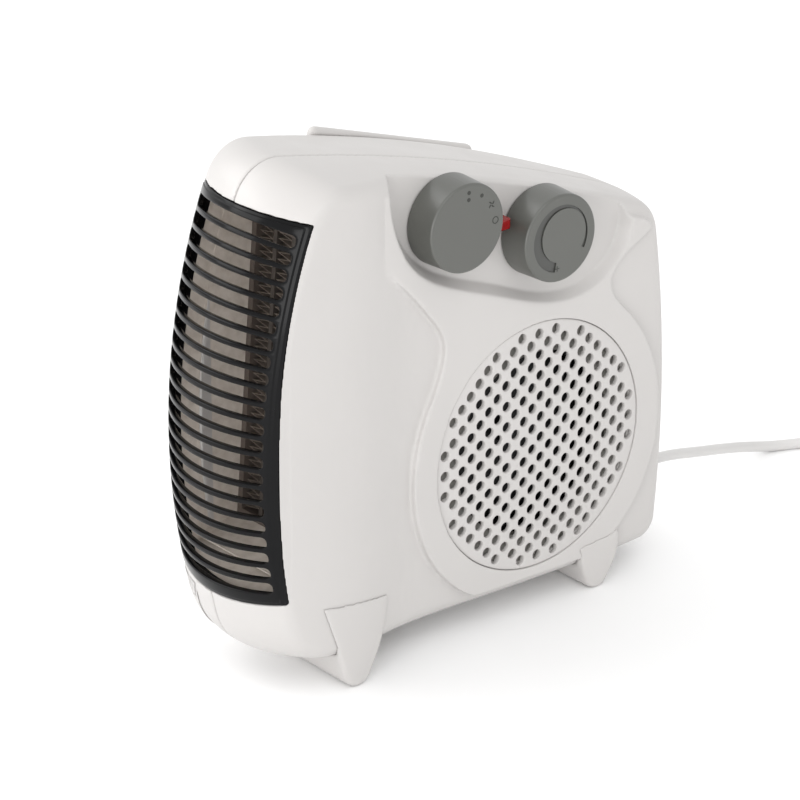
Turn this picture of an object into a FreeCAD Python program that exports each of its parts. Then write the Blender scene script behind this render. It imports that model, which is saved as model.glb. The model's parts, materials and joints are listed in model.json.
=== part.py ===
import FreeCAD, Part
import math
import os

# Upright fan heater with a round air inlet and two knobs on its +X side, a curved black
# outlet grille at the front (-Y) and its mains lead at the rear (+Y).
# Millimetres, +Z up. Origin: middle of the whole heater in X and Y, on the floor it stands on.

V = FreeCAD.Vector
X_AXIS = V(1, 0, 0)

# ---------------------------------------------------------------- driving dimensions
WALL = 2.5                      # thickness of the moulded shells
PARTING_X = 6.0                 # plane where the two shells meet
PARTING_GAP = 0.1               # each shell stops this far from that plane
EDGE_ROUND = 8.0                # outer rounding of the long side edges

# Side outline at the parting plane: four large arcs (centre (Y, Z), radius) and four corners.
FRONT_CENTRE = (183.0, 112.0)
FRONT_RADIUS = 310.0
PLAN_RADIUS = 60.0              # the front is also this round when seen from above
TOP_START = (-72.5, 240.2)
TOP_END = (92.5, 190.2)
TOP_RADIUS = 1000.0
REAR_RADIUS = 530.0
REAR_APEX = (127.2, 84.0)
BOTTOM_RADIUS = 2500.0
BOTTOM_APEX = (60.0, 10.0)
CORNER_RADII = (21.0, 20.0, 12.0, 30.0)         # front-top, top-rear, rear-bottom, bottom-front
CORNER_GUESSES = ((-100, 235), (120, 180), (120, 15), (-105, 20))
CROWN = (0.004, 0.004, 0.003)                   # fall of top, rear and bottom per squared mm of X
BACK_CROWN = (0.0005, 0.004, 0.003)             # the same for the back half, whose top is nearly flat
LEVELS = (9.0, 18.0, 27.0, 35.0, 42.0)          # distances from the parting plane that are lofted

# Plan curve of the control side, as (Y, X).
SIDE_CURVE = ((-150, 40.0), (-112, 43.4), (-90, 44.6), (-70, 43.4), (-52, 39.8), (-38, 36.2),
              (-20, 33.6), (20, 32.6), (60, 32.6), (100, 32.2), (125, 29.8), (140, 27.5))

# Plan curve of the back, as (Y, distance), laid out as if it were on the control side.
BACK_CURVE = ((-150, 34.0), (-112, 39.0), (-90, 43.0), (-60, 46.0), (-20, 47.0), (20, 46.5), (60, 42.0),
              (90, 34.5), (120, 27.0), (140, 23.0))

# Raised hourglass pad round the inlet, as (Y, X) plan curve and outline values in (Y, Z).
PAD_CURVE = ((-60, 39.0), (-31, 38.0), (-10, 36.2), (20, 35.6), (42, 35.5), (100, 35.3), (130, 34.6))
PAD_INSET = 5.0                 # the pad stops this far inside the outline
PAD_RADIUS = 74.0
PAD_ARC = (150.0, 38.0)         # the round lobe runs below these two angles from +Y
NECK_LEFT = ((-15.0, 133.0), (-13.2, 148.0), (-21.6, 161.5), (-31.0, 172.7), (-46.0, 188.0), (-62.0, 204.0))
NECK_RIGHT = ((91.5, 138.5), (85.5, 150.0), (90.5, 159.0), (98.7, 164.5), (107.0, 169.0), (120.0, 175.0))

INLET = (42.5, 82.3)            # centre of the round inlet, the fan and the motor, in (Y, Z)
INLET_RADIUS = 59.6
INLET_EDGE_X = 35.0
INLET_DOME = 2.2
INLET_THICKNESS = 2.4
HOLE_PITCH = 7.0
HOLE_RADIUS = 2.35
HOLE_FIELD = 8.1 * HOLE_PITCH

RECESS_FLOOR_X = 29.5           # floor of the scoop round the knobs
RECESS_OUTLINE = ((-45, 236), (-41.5, 205), (-33, 189), (-14, 174), (18, 160), (50, 149), (77, 150.5),
                  (93.5, 163), (98.5, 179), (95.5, 190))
RECESS_SLOPE = 5.0              # the scoop is this much smaller at its floor

GRILLE_HALF_WIDTH = 37.0
GRILLE_TOP = (-91.3, 223.9, -0.20)              # a point (Y, Z) of the edge plane and its slope
GRILLE_BOTTOM = (-108.1, 51.7, 0.25)
GRILLE_FACE = 3.0
GRILLE_PROUD = 0.3
GRILLE_GAP = 0.3
FLANGE_DEPTH = 11.0
GRILLE_REACH = 27.0             # how far behind the front curve the opening is cut at its sides
SLOTS = 22
SLOT_FIRST = 19.93              # angle of the first slot's lower edge, degrees above horizontal
SLOT_STEP = 1.451
SLOT_HEIGHT = 5.5
SLOT_HALF_LENGTH = 33.6

SWITCH_AXIS = (-8.6, 202.9)
THERMOSTAT_AXIS = (44.9, 185.0)
KNOB_RADIUS = 21.0
KNOB_TOP_RADIUS = 20.4
KNOB_FRONT_X = 45.8
KNOB_BACK_X = 30.2
KNOB_WALL = 2.0
SPINDLE_RADIUS = 3.0

IMPELLER_RADIUS = 52.0
IMPELLER_BACK_X = 7.5
IMPELLER_FRONT_X = 28.0
BLADES = 36
SHAFT_RADIUS = 2.5
RUNNING_CLEARANCE = 0.05

POST_RADIUS = 4.6               # screw posts that join the two shells
FOOT_ROUND = 2.0
SIDE_FOOT_PROUD = 0.6
RAIL_LINE = ((-32.5, 233.4), (60.0, 203.0))     # top of the rail, as (Y, Z)
RAIL_HEIGHT = 14.0
REST_DROP = 9.0                 # the rest's top is this far below the ridge's
RIDGE_X = (-36.5, -30.0)
SIDE_FEET_X = -KNOB_FRONT_X     # plane that the heater lies on when it is laid on its side
CORD_RADIUS = 2.6
FLOOR_CORD_Z = CORD_RADIUS + 0.1                # height of the lead's axis where it lies on the floor


# ---------------------------------------------------------------- small helpers
def box(x0, x1, y0, y1, z0, z1):
    return Part.makeBox(x1 - x0, y1 - y0, z1 - z0, V(x0, y0, z0))


def x_cylinder(radius, x0, x1, centre):
    return Part.makeCylinder(radius, x1 - x0, V(x0, centre[0], centre[1]), X_AXIS)


def x_tube(outer, inner, x0, x1, centre):
    return x_cylinder(outer, x0, x1, centre).cut(x_cylinder(inner, x0 - 1, x1 + 1, centre))


def x_prism(points, x0, x1):
    """Straight-sided prism along X through points given as (Y, Z)."""
    wire = Part.makePolygon([V(x0, y, z) for y, z in points] + [V(x0, *points[0])])
    return Part.Face(wire).extrude(V(x1 - x0, 0, 0))


def spline_edge(points):
    curve = Part.BSplineCurve()
    curve.interpolate(points)
    return curve.toShape()


def rotate_about_x(shape, centre, degrees):
    turned = shape.copy()
    turned.rotate(V(0, centre[0], centre[1]), X_AXIS, degrees)
    return turned


def polar(degrees, radius, centre=INLET):
    angle = math.radians(degrees)
    return (centre[0] + radius * math.cos(angle), centre[1] + radius * math.sin(angle))


def fuse_all(shapes):
    return shapes[0].multiFuse(shapes[1:]) if len(shapes) > 1 else shapes[0]


def mirrored(shape):
    return shape.mirror(V(PARTING_X, 0, 0), X_AXIS)


# ---------------------------------------------------------------- outer form
def chord_centre(start, end, radius):
    """Centre of an arc through two (Y, Z) points that bulges to the left of start-to-end."""
    half = math.hypot(end[0] - start[0], end[1] - start[1]) / 2
    rise = math.sqrt(radius ** 2 - half ** 2)
    unit = ((end[0] - start[0]) / (2 * half), (end[1] - start[1]) / (2 * half))
    middle = ((start[0] + end[0]) / 2, (start[1] + end[1]) / 2)
    return (middle[0] + rise * unit[1], middle[1] - rise * unit[0])


def circles_meet(centre_a, radius_a, centre_b, radius_b, guess):
    dy, dz = centre_b[0] - centre_a[0], centre_b[1] - centre_a[1]
    gap = math.hypot(dy, dz)
    along = (radius_a ** 2 - radius_b ** 2 + gap ** 2) / (2 * gap)
    across = math.sqrt(radius_a ** 2 - along ** 2)
    points = []
    for sign in (1, -1):
        y = centre_a[0] + (along * dy - sign * across * dz) / gap
        z = centre_a[1] + (along * dz + sign * across * dy) / gap
        points.append((y, z))
    return min(points, key=lambda p: math.hypot(p[0] - guess[0], p[1] - guess[1]))


def on_circle(centre, radius, towards):
    dy, dz = towards[0] - centre[0], towards[1] - centre[1]
    length = math.hypot(dy, dz)
    return (centre[0] + dy * radius / length, centre[1] + dz * radius / length)


def outline_wire(x, level, wall, crown=CROWN):
    """Side outline at distance `level` from the parting plane, `wall` inside the surface."""
    centres = (FRONT_CENTRE, chord_centre(TOP_START, TOP_END, TOP_RADIUS),
               (REAR_APEX[0] - REAR_RADIUS, REAR_APEX[1]),
               (BOTTOM_APEX[0], BOTTOM_APEX[1] + BOTTOM_RADIUS))
    falls = [PLAN_RADIUS - math.sqrt(PLAN_RADIUS ** 2 - level ** 2)] + [c * level ** 2 for c in crown]
    radii = [r - f - wall for r, f in zip((FRONT_RADIUS, TOP_RADIUS, REAR_RADIUS, BOTTOM_RADIUS), falls)]
    corners = []
    for k in range(4):
        after = (k + 1) % 4
        corner_radius = max(CORNER_RADII[k] - wall, 3.0)
        centre = circles_meet(centres[k], radii[k] - corner_radius, centres[after],
                              radii[after] - corner_radius, CORNER_GUESSES[k])
        start = on_circle(centres[k], radii[k], centre)
        end = on_circle(centres[after], radii[after], centre)
        middle = on_circle(centre, corner_radius, ((start[0] + end[0]) / 2, (start[1] + end[1]) / 2))
        corners.append((start, middle, end))
    edges = []
    for k in range(4):
        start, end = corners[k - 1][2], corners[k][0]
        middle = on_circle(centres[k], radii[k], ((start[0] + end[0]) / 2, (start[1] + end[1]) / 2))
        edges.append(Part.Arc(V(x, *start), V(x, *middle), V(x, *end)).toShape())
        edges.append(Part.Arc(*[V(x, *point) for point in corners[k]]).toShape())
    return Part.Wire(edges)


def half_loft(wall, first=PARTING_GAP, extra=(), crown=CROWN):
    """Control-side half of the body before its side is cut to the plan curve."""
    wires = [outline_wire(PARTING_X + level, level, wall, crown) for level in (first,) + LEVELS + extra]
    return Part.makeLoft(wires, True, False)


def under_curve(curve, wall, x0=-60.0):
    """Everything on the inner side of a plan curve given as (Y, X)."""
    points = [V(x - wall, y, -30) for y, x in curve]
    start, end = points[0], points[-1]
    back = [V(x0, end.y, -30), V(x0, start.y, -30)]
    edges = [spline_edge(points), Part.makeLine(end, back[0]), Part.makeLine(back[0], back[1]),
             Part.makeLine(back[1], start)]
    return Part.Face(Part.Wire(edges)).extrude(V(0, 0, 320))


def half_body(wall, first=PARTING_GAP, curve=SIDE_CURVE, crown=CROWN):
    """Control-side half of the body, `wall` inside the surface, with its side edge rounded."""
    solid = half_loft(wall, first, (), crown).common(under_curve(curve, wall)).Solids[0]
    side_face = max(solid.Faces, key=lambda face: face.CenterOfMass.x)
    return solid.makeFillet(EDGE_ROUND - wall, side_face.OuterWire.Edges)


def pad_shape():
    """Hourglass pad: a round lobe about the inlet and a waisted neck that runs up to the controls."""
    def flat(point):
        return V(20, *point)
    start, end = [polar(angle, PAD_RADIUS) for angle in PAD_ARC]
    high = 260.0
    corners = [flat(NECK_RIGHT[-1]), V(20, NECK_RIGHT[-1][0], high), V(20, NECK_LEFT[-1][0], high),
               flat(NECK_LEFT[-1])]
    edges = [Part.Arc(flat(start), flat(polar(270, PAD_RADIUS)), flat(end)).toShape(),
             spline_edge([flat(p) for p in (end,) + NECK_RIGHT])]
    edges += [Part.makeLine(a, b) for a, b in zip(corners, corners[1:])]
    edges.append(spline_edge([flat(p) for p in NECK_LEFT[::-1] + (start,)]))
    prism = Part.Face(Part.Wire(edges)).extrude(V(30, 0, 0))
    return prism.common(under_curve(PAD_CURVE, 0.0)).common(half_loft(PAD_INSET))


def recess_shape(grow, floor_x):
    """Scoop round the knobs, open at the top; `grow` widens it for the wall behind it."""
    def ring(x, shrink):
        middle = V(x, 30, 200)
        points = []
        for y, z in RECESS_OUTLINE:
            point = V(x, y, z)
            away = point - middle
            points.append(point - away * (shrink / away.Length))
        top = [V(x, points[-1].y, 275), V(x, points[0].y, 275)]
        return Part.Wire([spline_edge(points), Part.makeLine(points[-1], top[0]),
                          Part.makeLine(top[0], top[1]), Part.makeLine(top[1], points[0])])
    wires = [ring(floor_x, RECESS_SLOPE - grow), ring(37.0, -grow), ring(60.0, -grow - 6)]
    return Part.makeLoft(wires, True, True)


def grille_wedge(clearance):
    """Region of the front that the outlet grille fills, made larger by `clearance`."""
    def edge_z(line, y):
        return line[1] + line[2] * (y - line[0])
    top = [(y, edge_z(GRILLE_TOP, y) + clearance) for y in (-150, -60)]
    bottom = [(y, edge_z(GRILLE_BOTTOM, y) - clearance) for y in (-60, -150)]
    half = GRILLE_HALF_WIDTH + clearance
    wedge = x_prism(top + bottom, PARTING_X - half, PARTING_X + half)
    return wedge.cut(x_cylinder(FRONT_RADIUS - GRILLE_REACH, -60, 60, FRONT_CENTRE))


def screw_posts():
    return ((-78.0, 224.0), (108.0, 166.0), (88.0, 22.5), (-86.0, 31.0))


# ---------------------------------------------------------------- shells
def control_side_shell(outer, inner):
    pad = pad_shape()
    shell = outer.fuse(pad).cut(recess_shape(0.0, RECESS_FLOOR_X))
    cavity = inner.cut(recess_shape(WALL, RECESS_FLOOR_X - WALL))
    shell = shell.cut(cavity)
    posts = [x_cylinder(POST_RADIUS, PARTING_X + PARTING_GAP, 60, post) for post in screw_posts()]
    shell = shell.fuse(fuse_all(posts).common(outer))
    cuts = [x_cylinder(INLET_RADIUS + 0.25, INLET_EDGE_X - INLET_THICKNESS, 60, INLET),
            x_cylinder(INLET_RADIUS - 2.6, 10, 60, INLET), grille_wedge(GRILLE_GAP),
            x_cylinder(SPINDLE_RADIUS + 2.0, 20, 40, SWITCH_AXIS),
            x_cylinder(SPINDLE_RADIUS + 2.0, 20, 40, THERMOSTAT_AXIS),
            box(20, 40, LAMP[0] - 0.2, LAMP[1] + 0.2, LAMP[2] - 0.2, LAMP[3] + 0.2), cord_hole()]
    cuts += [x_cylinder(1.45, 0, PARTING_X + 14, post) for post in screw_posts()]
    return shell.cut(fuse_all(cuts)).removeSplitter()


def back_shell(outer, inner):
    far_outer, far_inner = mirrored(outer), mirrored(inner)
    shell = far_outer.cut(far_inner)
    posts = [x_cylinder(POST_RADIUS, -60, PARTING_X - PARTING_GAP, post) for post in screw_posts()]
    posts += [x_cylinder(3.5, -60, MOTOR_PLATE_X, post) for post in motor_posts()]
    shell = shell.fuse(fuse_all(posts).common(far_outer))
    cuts = [grille_wedge(GRILLE_GAP), cord_hole()]
    cuts += [x_cylinder(1.7, -60, 20, post) for post in screw_posts()]
    cuts += [x_cylinder(3.4, -60, far_face_x(post[0]) + 2.2, post) for post in screw_posts()]
    cuts += [x_cylinder(1.05, MOTOR_PLATE_X - 5, 20, post) for post in motor_posts()]
    cuts += [vent_slots()]
    return shell.cut(fuse_all(cuts)).removeSplitter()


def far_face_x(y):
    """X of the far side face at Y, the mirror of the control side's plan curve."""
    curve = Part.BSplineCurve()
    curve.interpolate([V(x, yy, 0) for yy, x in SIDE_CURVE])
    hit = curve.intersect(Part.Line(V(-100, y, 0), V(100, y, 0)))[0]
    return 2 * PARTING_X - hit.X


def vent_slots():
    """Motor cooling slots through the back shell, behind the motor."""
    slots = []
    for k in range(-3, 4):
        z = INLET[1] + 7.0 * k
        half = math.sqrt(29.0 ** 2 - (7.0 * k) ** 2) - 4
        if k in (-3, 3):
            half = 14.0
        slot = box(-40, -15, INLET[0] - half, INLET[0] + half, z - 1.25, z + 1.25)
        slots.append(slot)
    return fuse_all(slots)


# ---------------------------------------------------------------- grilles
def outlet_grille():
    def layer(out, inside):
        near = half_loft(out, 0.0).cut(half_loft(inside, 0.0))
        return near.fuse(mirrored(near))
    wedge = grille_wedge(0.0)
    face = layer(-GRILLE_PROUD, GRILLE_FACE - GRILLE_PROUD).common(wedge)
    rim_half = GRILLE_HALF_WIDTH - 2.2
    core = grille_wedge(-2.2)
    flange = layer(GRILLE_FACE - GRILLE_PROUD - 0.2, FLANGE_DEPTH).common(wedge).cut(core)
    flange = flange.common(box(PARTING_X - rim_half - 5, PARTING_X + rim_half + 5, -150, -70, 0, 260))
    cutters = []
    for k in range(SLOTS):
        z = FRONT_CENTRE[1]
        slot = box(PARTING_X - SLOT_HALF_LENGTH, PARTING_X + SLOT_HALF_LENGTH,
                   FRONT_CENTRE[0] - FRONT_RADIUS - 5, FRONT_CENTRE[0] - FRONT_RADIUS + 30,
                   z, z + SLOT_HEIGHT)
        slot = slot.makeFillet(2.2, [e for e in slot.Edges if abs(e.tangentAt(e.FirstParameter).y) > 0.9])
        cutters.append(rotate_about_x(slot, FRONT_CENTRE, -(SLOT_FIRST - SLOT_STEP * k)))
    return face.fuse(flange).cut(Part.makeCompound(cutters)).removeSplitter()


def inlet_grille():
    dome_radius = (INLET_RADIUS ** 2 + INLET_DOME ** 2) / (2 * INLET_DOME)
    centre_x = INLET_EDGE_X + INLET_DOME - dome_radius
    cap = Part.makeSphere(dome_radius, V(centre_x, *INLET)).cut(
        Part.makeSphere(dome_radius - INLET_THICKNESS, V(centre_x, *INLET)))
    disc = cap.common(x_cylinder(INLET_RADIUS, 20, 50, INLET))
    rim = x_tube(INLET_RADIUS - 2.9, INLET_RADIUS - 5.4, 32.0, INLET_EDGE_X - 1.0, INLET)
    holes = []
    steps = [k + 0.5 for k in range(-9, 9)]
    for a in steps:
        for b in steps:
            if math.hypot(a, b) * HOLE_PITCH < HOLE_FIELD:
                y = INLET[0] + (a - b) * HOLE_PITCH / math.sqrt(2)
                z = INLET[1] + (a + b) * HOLE_PITCH / math.sqrt(2)
                holes.append(x_cylinder(HOLE_RADIUS, 30, 45, (y, z)))
    print("inlet holes", len(holes))
    return disc.fuse(rim).cut(Part.makeCompound(holes))


# ---------------------------------------------------------------- feet and rail
def tangent_point(point, centre, radius, side):
    """Point where the line from `point` touches a circle; side +1 or -1 picks which one."""
    dy, dz = point[0] - centre[0], point[1] - centre[1]
    length = math.hypot(dy, dz)
    angle = math.atan2(dz, dy) + side * math.acos(radius / length)
    return (centre[0] + radius * math.cos(angle), centre[1] + radius * math.sin(angle))


def foot_bar(front_top, rear_top, tip, tip_radius, proud, body):
    """Full-width foot: tongue outline with a rounded tip, flat where it meets the floor."""
    left = tangent_point(front_top, tip, tip_radius, 1)
    right = tangent_point(rear_top, tip, tip_radius, -1)
    low = (tip[0], tip[1] - tip_radius)
    knee = ((rear_top[0] + right[0]) / 2 + 2.6, (rear_top[1] + right[1]) / 2 - 1.0)
    x = -70.0
    edges = [Part.makeLine(V(x, *front_top), V(x, *left)),
             Part.Arc(V(x, *left), V(x, *low), V(x, *right)).toShape(),
             Part.Arc(V(x, *right), V(x, *knee), V(x, *rear_top)).toShape(),
             Part.makeLine(V(x, *rear_top), V(x, *front_top))]
    prism = Part.Face(Part.Wire(edges)).extrude(V(140, 0, 0))
    prism = prism.common(under_curve(SIDE_CURVE, -proud)).common(mirrored(under_curve(BACK_CURVE, -proud)))
    ends = [e for e in prism.Edges if e.Length > 5 and abs(e.tangentAt(e.FirstParameter).x) < 0.8
            and abs(e.CenterOfMass.x - PARTING_X) > 15]
    prism = prism.makeFillet(FOOT_ROUND, ends)
    return prism.common(box(-70, 70, -150, 150, 0, 60)).cut(body)


def side_feet(body):
    """Two lower corner feet that the heater lies on when it is laid on its side."""
    skin = mirrored(half_loft(-SIDE_FOOT_PROUD, PARTING_GAP, (PARTING_X - SIDE_FEET_X,)))
    front = box(SIDE_FEET_X, -8.0, -140.0, -84.0, 19.0, 47.0)
    rear = box(SIDE_FEET_X, -12.0, 98.0, 140.0, 24.0, 50.0)
    feet = []
    for block in (front, rear):
        feet += [s for s in block.common(skin).cut(body).Solids if s.Volume > 500]
    return Part.makeCompound(feet)


def top_rail(body):
    """Grip ridge along the back's top edge with the third rest for laying the heater on its side."""
    start, end = RAIL_LINE
    slope = math.atan2(start[1] - end[1], end[0] - start[0])
    length = math.hypot(end[0] - start[0], end[1] - start[1])
    ridge = box(*RIDGE_X, 0.0, length, -RAIL_HEIGHT, 0.0)
    rest = box(SIDE_FEET_X, RIDGE_X[1] - 4.0, 0.0, length, -REST_DROP - RAIL_HEIGHT, -REST_DROP)
    rail = ridge.makeFillet(3.0, ridge.Edges).fuse(rest.makeFillet(3.0, rest.Edges))
    rail.rotate(V(0, 0, 0), X_AXIS, -math.degrees(slope))
    rail.translate(V(0, *start))
    return Part.makeCompound([s for s in rail.cut(body).Solids if s.Volume > 500])


# ---------------------------------------------------------------- controls
def knob(centre):
    body = Part.makeCone(KNOB_RADIUS, KNOB_TOP_RADIUS, KNOB_FRONT_X - KNOB_BACK_X,
                         V(KNOB_BACK_X, *centre), X_AXIS)
    rim = [e for e in body.Edges if abs(e.CenterOfMass.x - KNOB_FRONT_X) < 0.1 and e.Length > 50]
    body = body.makeFillet(1.2, rim)
    hollow = x_cylinder(KNOB_TOP_RADIUS - KNOB_WALL, KNOB_BACK_X - 1, KNOB_FRONT_X - 2.4, centre)
    hub = x_cylinder(6.0, KNOB_BACK_X + 1, KNOB_FRONT_X - 2.4, centre)
    bore = x_cylinder(SPINDLE_RADIUS, KNOB_BACK_X - 1, KNOB_FRONT_X - 4.4, centre)
    return body.cut(hollow).fuse(hub).cut(bore)


def thermostat_knob():
    """Knob with a crescent groove that widens towards its hot end."""
    y, z = THERMOSTAT_AXIS
    groove = x_cylinder(15.6, KNOB_FRONT_X - 0.6, KNOB_FRONT_X + 1, (y, z))
    island = x_cylinder(12.6, KNOB_FRONT_X - 1, KNOB_FRONT_X + 2, (y + 1.9, z + 0.9))
    stop = x_prism([(y, z), (y + 40, z - 22), (y, z - 40), (y - 8.5, z - 40)],
                   KNOB_FRONT_X - 1, KNOB_FRONT_X + 2)
    return knob(THERMOSTAT_AXIS).cut(groove.cut(island).cut(stop))


def control_body(centre, half_y, half_z, back_x):
    """Square control housing behind the shell with a round bush round its spindle."""
    y, z = centre
    body = box(back_x, 22.0, y - half_y, y + half_y, z - half_z, z + half_z)
    body = body.makeFillet(1.0, body.Edges)
    bush = x_cylinder(SPINDLE_RADIUS + 1.8, 21.5, 29.0, centre)
    bore = x_cylinder(SPINDLE_RADIUS + RUNNING_CLEARANCE, back_x + 3, 40, centre)
    return body.fuse(bush).cut(bore)


def control_bracket():
    """Steel plate that both controls are fixed to, with a window for each bush."""
    plate = x_prism([(-24.0, 220.0), (-24.0, 193.0), (2.0, 170.0), (62.0, 170.0), (62.0, 199.0)], 22.0, 23.0)
    windows = fuse_all([x_cylinder(SPINDLE_RADIUS + 1.8, 20, 25, SWITCH_AXIS),
                        x_cylinder(SPINDLE_RADIUS + 1.8, 20, 25, THERMOSTAT_AXIS),
                        box(20, 25, LAMP[0] - 1, LAMP[1] + 1, LAMP[2] - 1, LAMP[3] + 1)])
    return plate.cut(windows)


LAMP = (16.2, 23.4, 192.2, 197.2)               # Y and Z limits of the indicator window


def indicator_lens():
    lens = box(26.0, 37.0, *LAMP)
    lens = lens.makeFillet(0.8, [e for e in lens.Edges if e.CenterOfMass.x > 36])
    flange = box(25.6, 26.8, LAMP[0] - 1.6, LAMP[1] + 1.6, LAMP[2] - 1.6, LAMP[3] + 1.6)
    pocket = x_cylinder(1.9, 20, 33, ((LAMP[0] + LAMP[1]) / 2, (LAMP[2] + LAMP[3]) / 2))
    return lens.fuse(flange).cut(pocket)


def indicator_lamp():
    centre = ((LAMP[0] + LAMP[1]) / 2, (LAMP[2] + LAMP[3]) / 2)
    tube = x_cylinder(1.6, 14.0, 30.0, centre)
    return tube.fuse(Part.makeSphere(1.6, V(30.0, *centre)))


# ---------------------------------------------------------------- fan and motor
MOTOR_PLATE_X = -15.0
STATOR_X = (-10.0, 1.0)
ROTOR_RADIUS = 13.0


def motor_posts():
    y, z = INLET
    return [(y + dy, z + dz) for dy in (-30, 30) for dz in (-26, 26)]


def motor_screw_places():
    y, z = INLET
    return [(y - 19.0, z + 14.0), (y + 19.0, z + 14.0)]


def impeller():
    """Forward-curved blower wheel: a back plate, a ring of blades and two end rings."""
    y, z = INLET
    plate = x_cylinder(IMPELLER_RADIUS, IMPELLER_BACK_X, IMPELLER_BACK_X + 1.5, INLET)
    hub = x_cylinder(6.0, IMPELLER_BACK_X, IMPELLER_BACK_X + 8, INLET)
    ring = x_tube(IMPELLER_RADIUS, IMPELLER_RADIUS - 2.0, IMPELLER_FRONT_X - 2.0, IMPELLER_FRONT_X, INLET)
    wheel = plate.fuse(hub).fuse(ring)
    blade_ring = x_tube(IMPELLER_RADIUS - 0.4, 42.0, IMPELLER_BACK_X + 1.0, IMPELLER_FRONT_X - 1.0, INLET)
    blade_centre = (y + 46.0, z + 4.5)
    blade = x_tube(7.5, 6.5, IMPELLER_BACK_X + 1.0, IMPELLER_FRONT_X - 1.0, blade_centre)
    blade = blade.common(blade_ring).common(box(0, 40, y, y + 60, z - 10, z + 4.5))
    blades = [rotate_about_x(blade, INLET, 360.0 * k / BLADES) for k in range(BLADES)]
    return wheel.multiFuse(blades).cut(x_cylinder(SHAFT_RADIUS, 0, 40, INLET))


def motor_shaft():
    return x_cylinder(SHAFT_RADIUS, -15.6, IMPELLER_BACK_X + 8, INLET)


def motor_rotor():
    return x_tube(ROTOR_RADIUS, SHAFT_RADIUS, *STATOR_X, INLET)


def motor_stator():
    y, z = INLET
    core = box(STATOR_X[0], STATOR_X[1], y - 24, y + 24, z - 42, z + 22)
    window = box(-20, 20, y - 16, y + 16, z - 34, z - 19)
    bore = x_cylinder(ROTOR_RADIUS + 0.4, -20, 20, INLET)
    holes = [x_cylinder(1.7, -20, 20, place) for place in motor_screw_places()]
    core = core.makeFillet(2.0, [e for e in core.Edges if abs(e.tangentAt(e.FirstParameter).x) > 0.9])
    return core.cut(fuse_all([window, bore] + holes))


def motor_coil():
    """Bobbin winding round the stator's lower leg."""
    y, z = INLET
    winding = box(STATOR_X[0] - 4.2, STATOR_X[1] + 4.2, y - 12, y + 12, z - 46.5, z - 26)
    winding = winding.makeFillet(2.5, [e for e in winding.Edges
                                       if abs(e.tangentAt(e.FirstParameter).y) > 0.9])
    leg = box(STATOR_X[0], STATOR_X[1], y - 30, y + 30, z - 42, z - 34)
    return winding.cut(leg)


def motor_brackets():
    """Two straps that hold the bearings, in front of and behind the stator."""
    y, z = INLET
    straps = []
    for x in (STATOR_X[0] - 3.2, STATOR_X[1] + 2.0):
        strap = box(x, x + 1.2, y - 24, y + 24, z + 9, z + 19)
        strap = strap.fuse(box(x, x + 1.2, y - 7, y + 7, z - 8, z + 12))
        holes = [x_cylinder(1.7, x - 1, x + 3, place) for place in motor_screw_places()]
        straps.append(strap.cut(fuse_all(holes + [x_cylinder(5.0, x - 1, x + 3, INLET)])))
    return Part.makeCompound(straps)


def motor_bearings():
    bearings = []
    for x in (STATOR_X[0] - 4.4, STATOR_X[1] + 0.8):
        bearings.append(x_tube(5.0, SHAFT_RADIUS + RUNNING_CLEARANCE, x, x + 3.6, INLET))
    return Part.makeCompound(bearings)


def motor_spacers():
    spacers = []
    for place in motor_screw_places():
        spacers.append(x_tube(3.0, 1.7, STATOR_X[0] - 2.0, STATOR_X[0], place))
        spacers.append(x_tube(3.0, 1.7, STATOR_X[1], STATOR_X[1] + 2.0, place))
        spacers.append(x_tube(3.0, 1.7, MOTOR_PLATE_X + 1.2, STATOR_X[0] - 3.2, place))
    return Part.makeCompound(spacers)


def motor_plate():
    y, z = INLET
    plate = box(MOTOR_PLATE_X, MOTOR_PLATE_X + 1.2, y - 35, y + 35, z - 31, z + 31)
    plate = plate.makeFillet(5.0, [e for e in plate.Edges if abs(e.tangentAt(e.FirstParameter).x) > 0.9])
    holes = [x_cylinder(1.7, -30, 0, place) for place in motor_screw_places() + motor_posts()]
    opening = box(-30, 0, y - 14, y + 14, z - 50, z + 8)
    return plate.cut(fuse_all(holes + [opening]))


def pan_screw(x_head, length, centre, shank, towards):
    """Screw along X whose head's flat underside is at x_head; towards is +1 or -1."""
    tip = x_head + towards * length
    shaft = x_cylinder(shank, min(x_head, tip), max(x_head, tip), centre)
    back = x_head - towards * 1.8
    head = x_cylinder(shank * 1.95, min(x_head, back), max(x_head, back), centre)
    rim = [e for e in head.Edges if abs(e.CenterOfMass.x - back) < 0.01 and e.Length > 3]
    head = head.makeFillet(0.7, rim)
    slot = box(back - 0.8, back + 0.8, centre[0] - 3, centre[0] + 3, centre[1] - 0.35, centre[1] + 0.35)
    return shaft.fuse(head).cut(slot)


def motor_screws():
    screws = [pan_screw(STATOR_X[1] + 3.2, 19.0, place, 1.5, -1) for place in motor_screw_places()]
    screws += [pan_screw(MOTOR_PLATE_X + 1.2, 5.5, post, 1.05, -1) for post in motor_posts()]
    return Part.makeCompound(screws)


def housing_screws():
    screws = []
    for post in screw_posts():
        x = far_face_x(post[0]) + 2.2
        screws.append(pan_screw(x, PARTING_X + 12 - x, post, 1.4, 1))
    return Part.makeCompound(screws)


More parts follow.
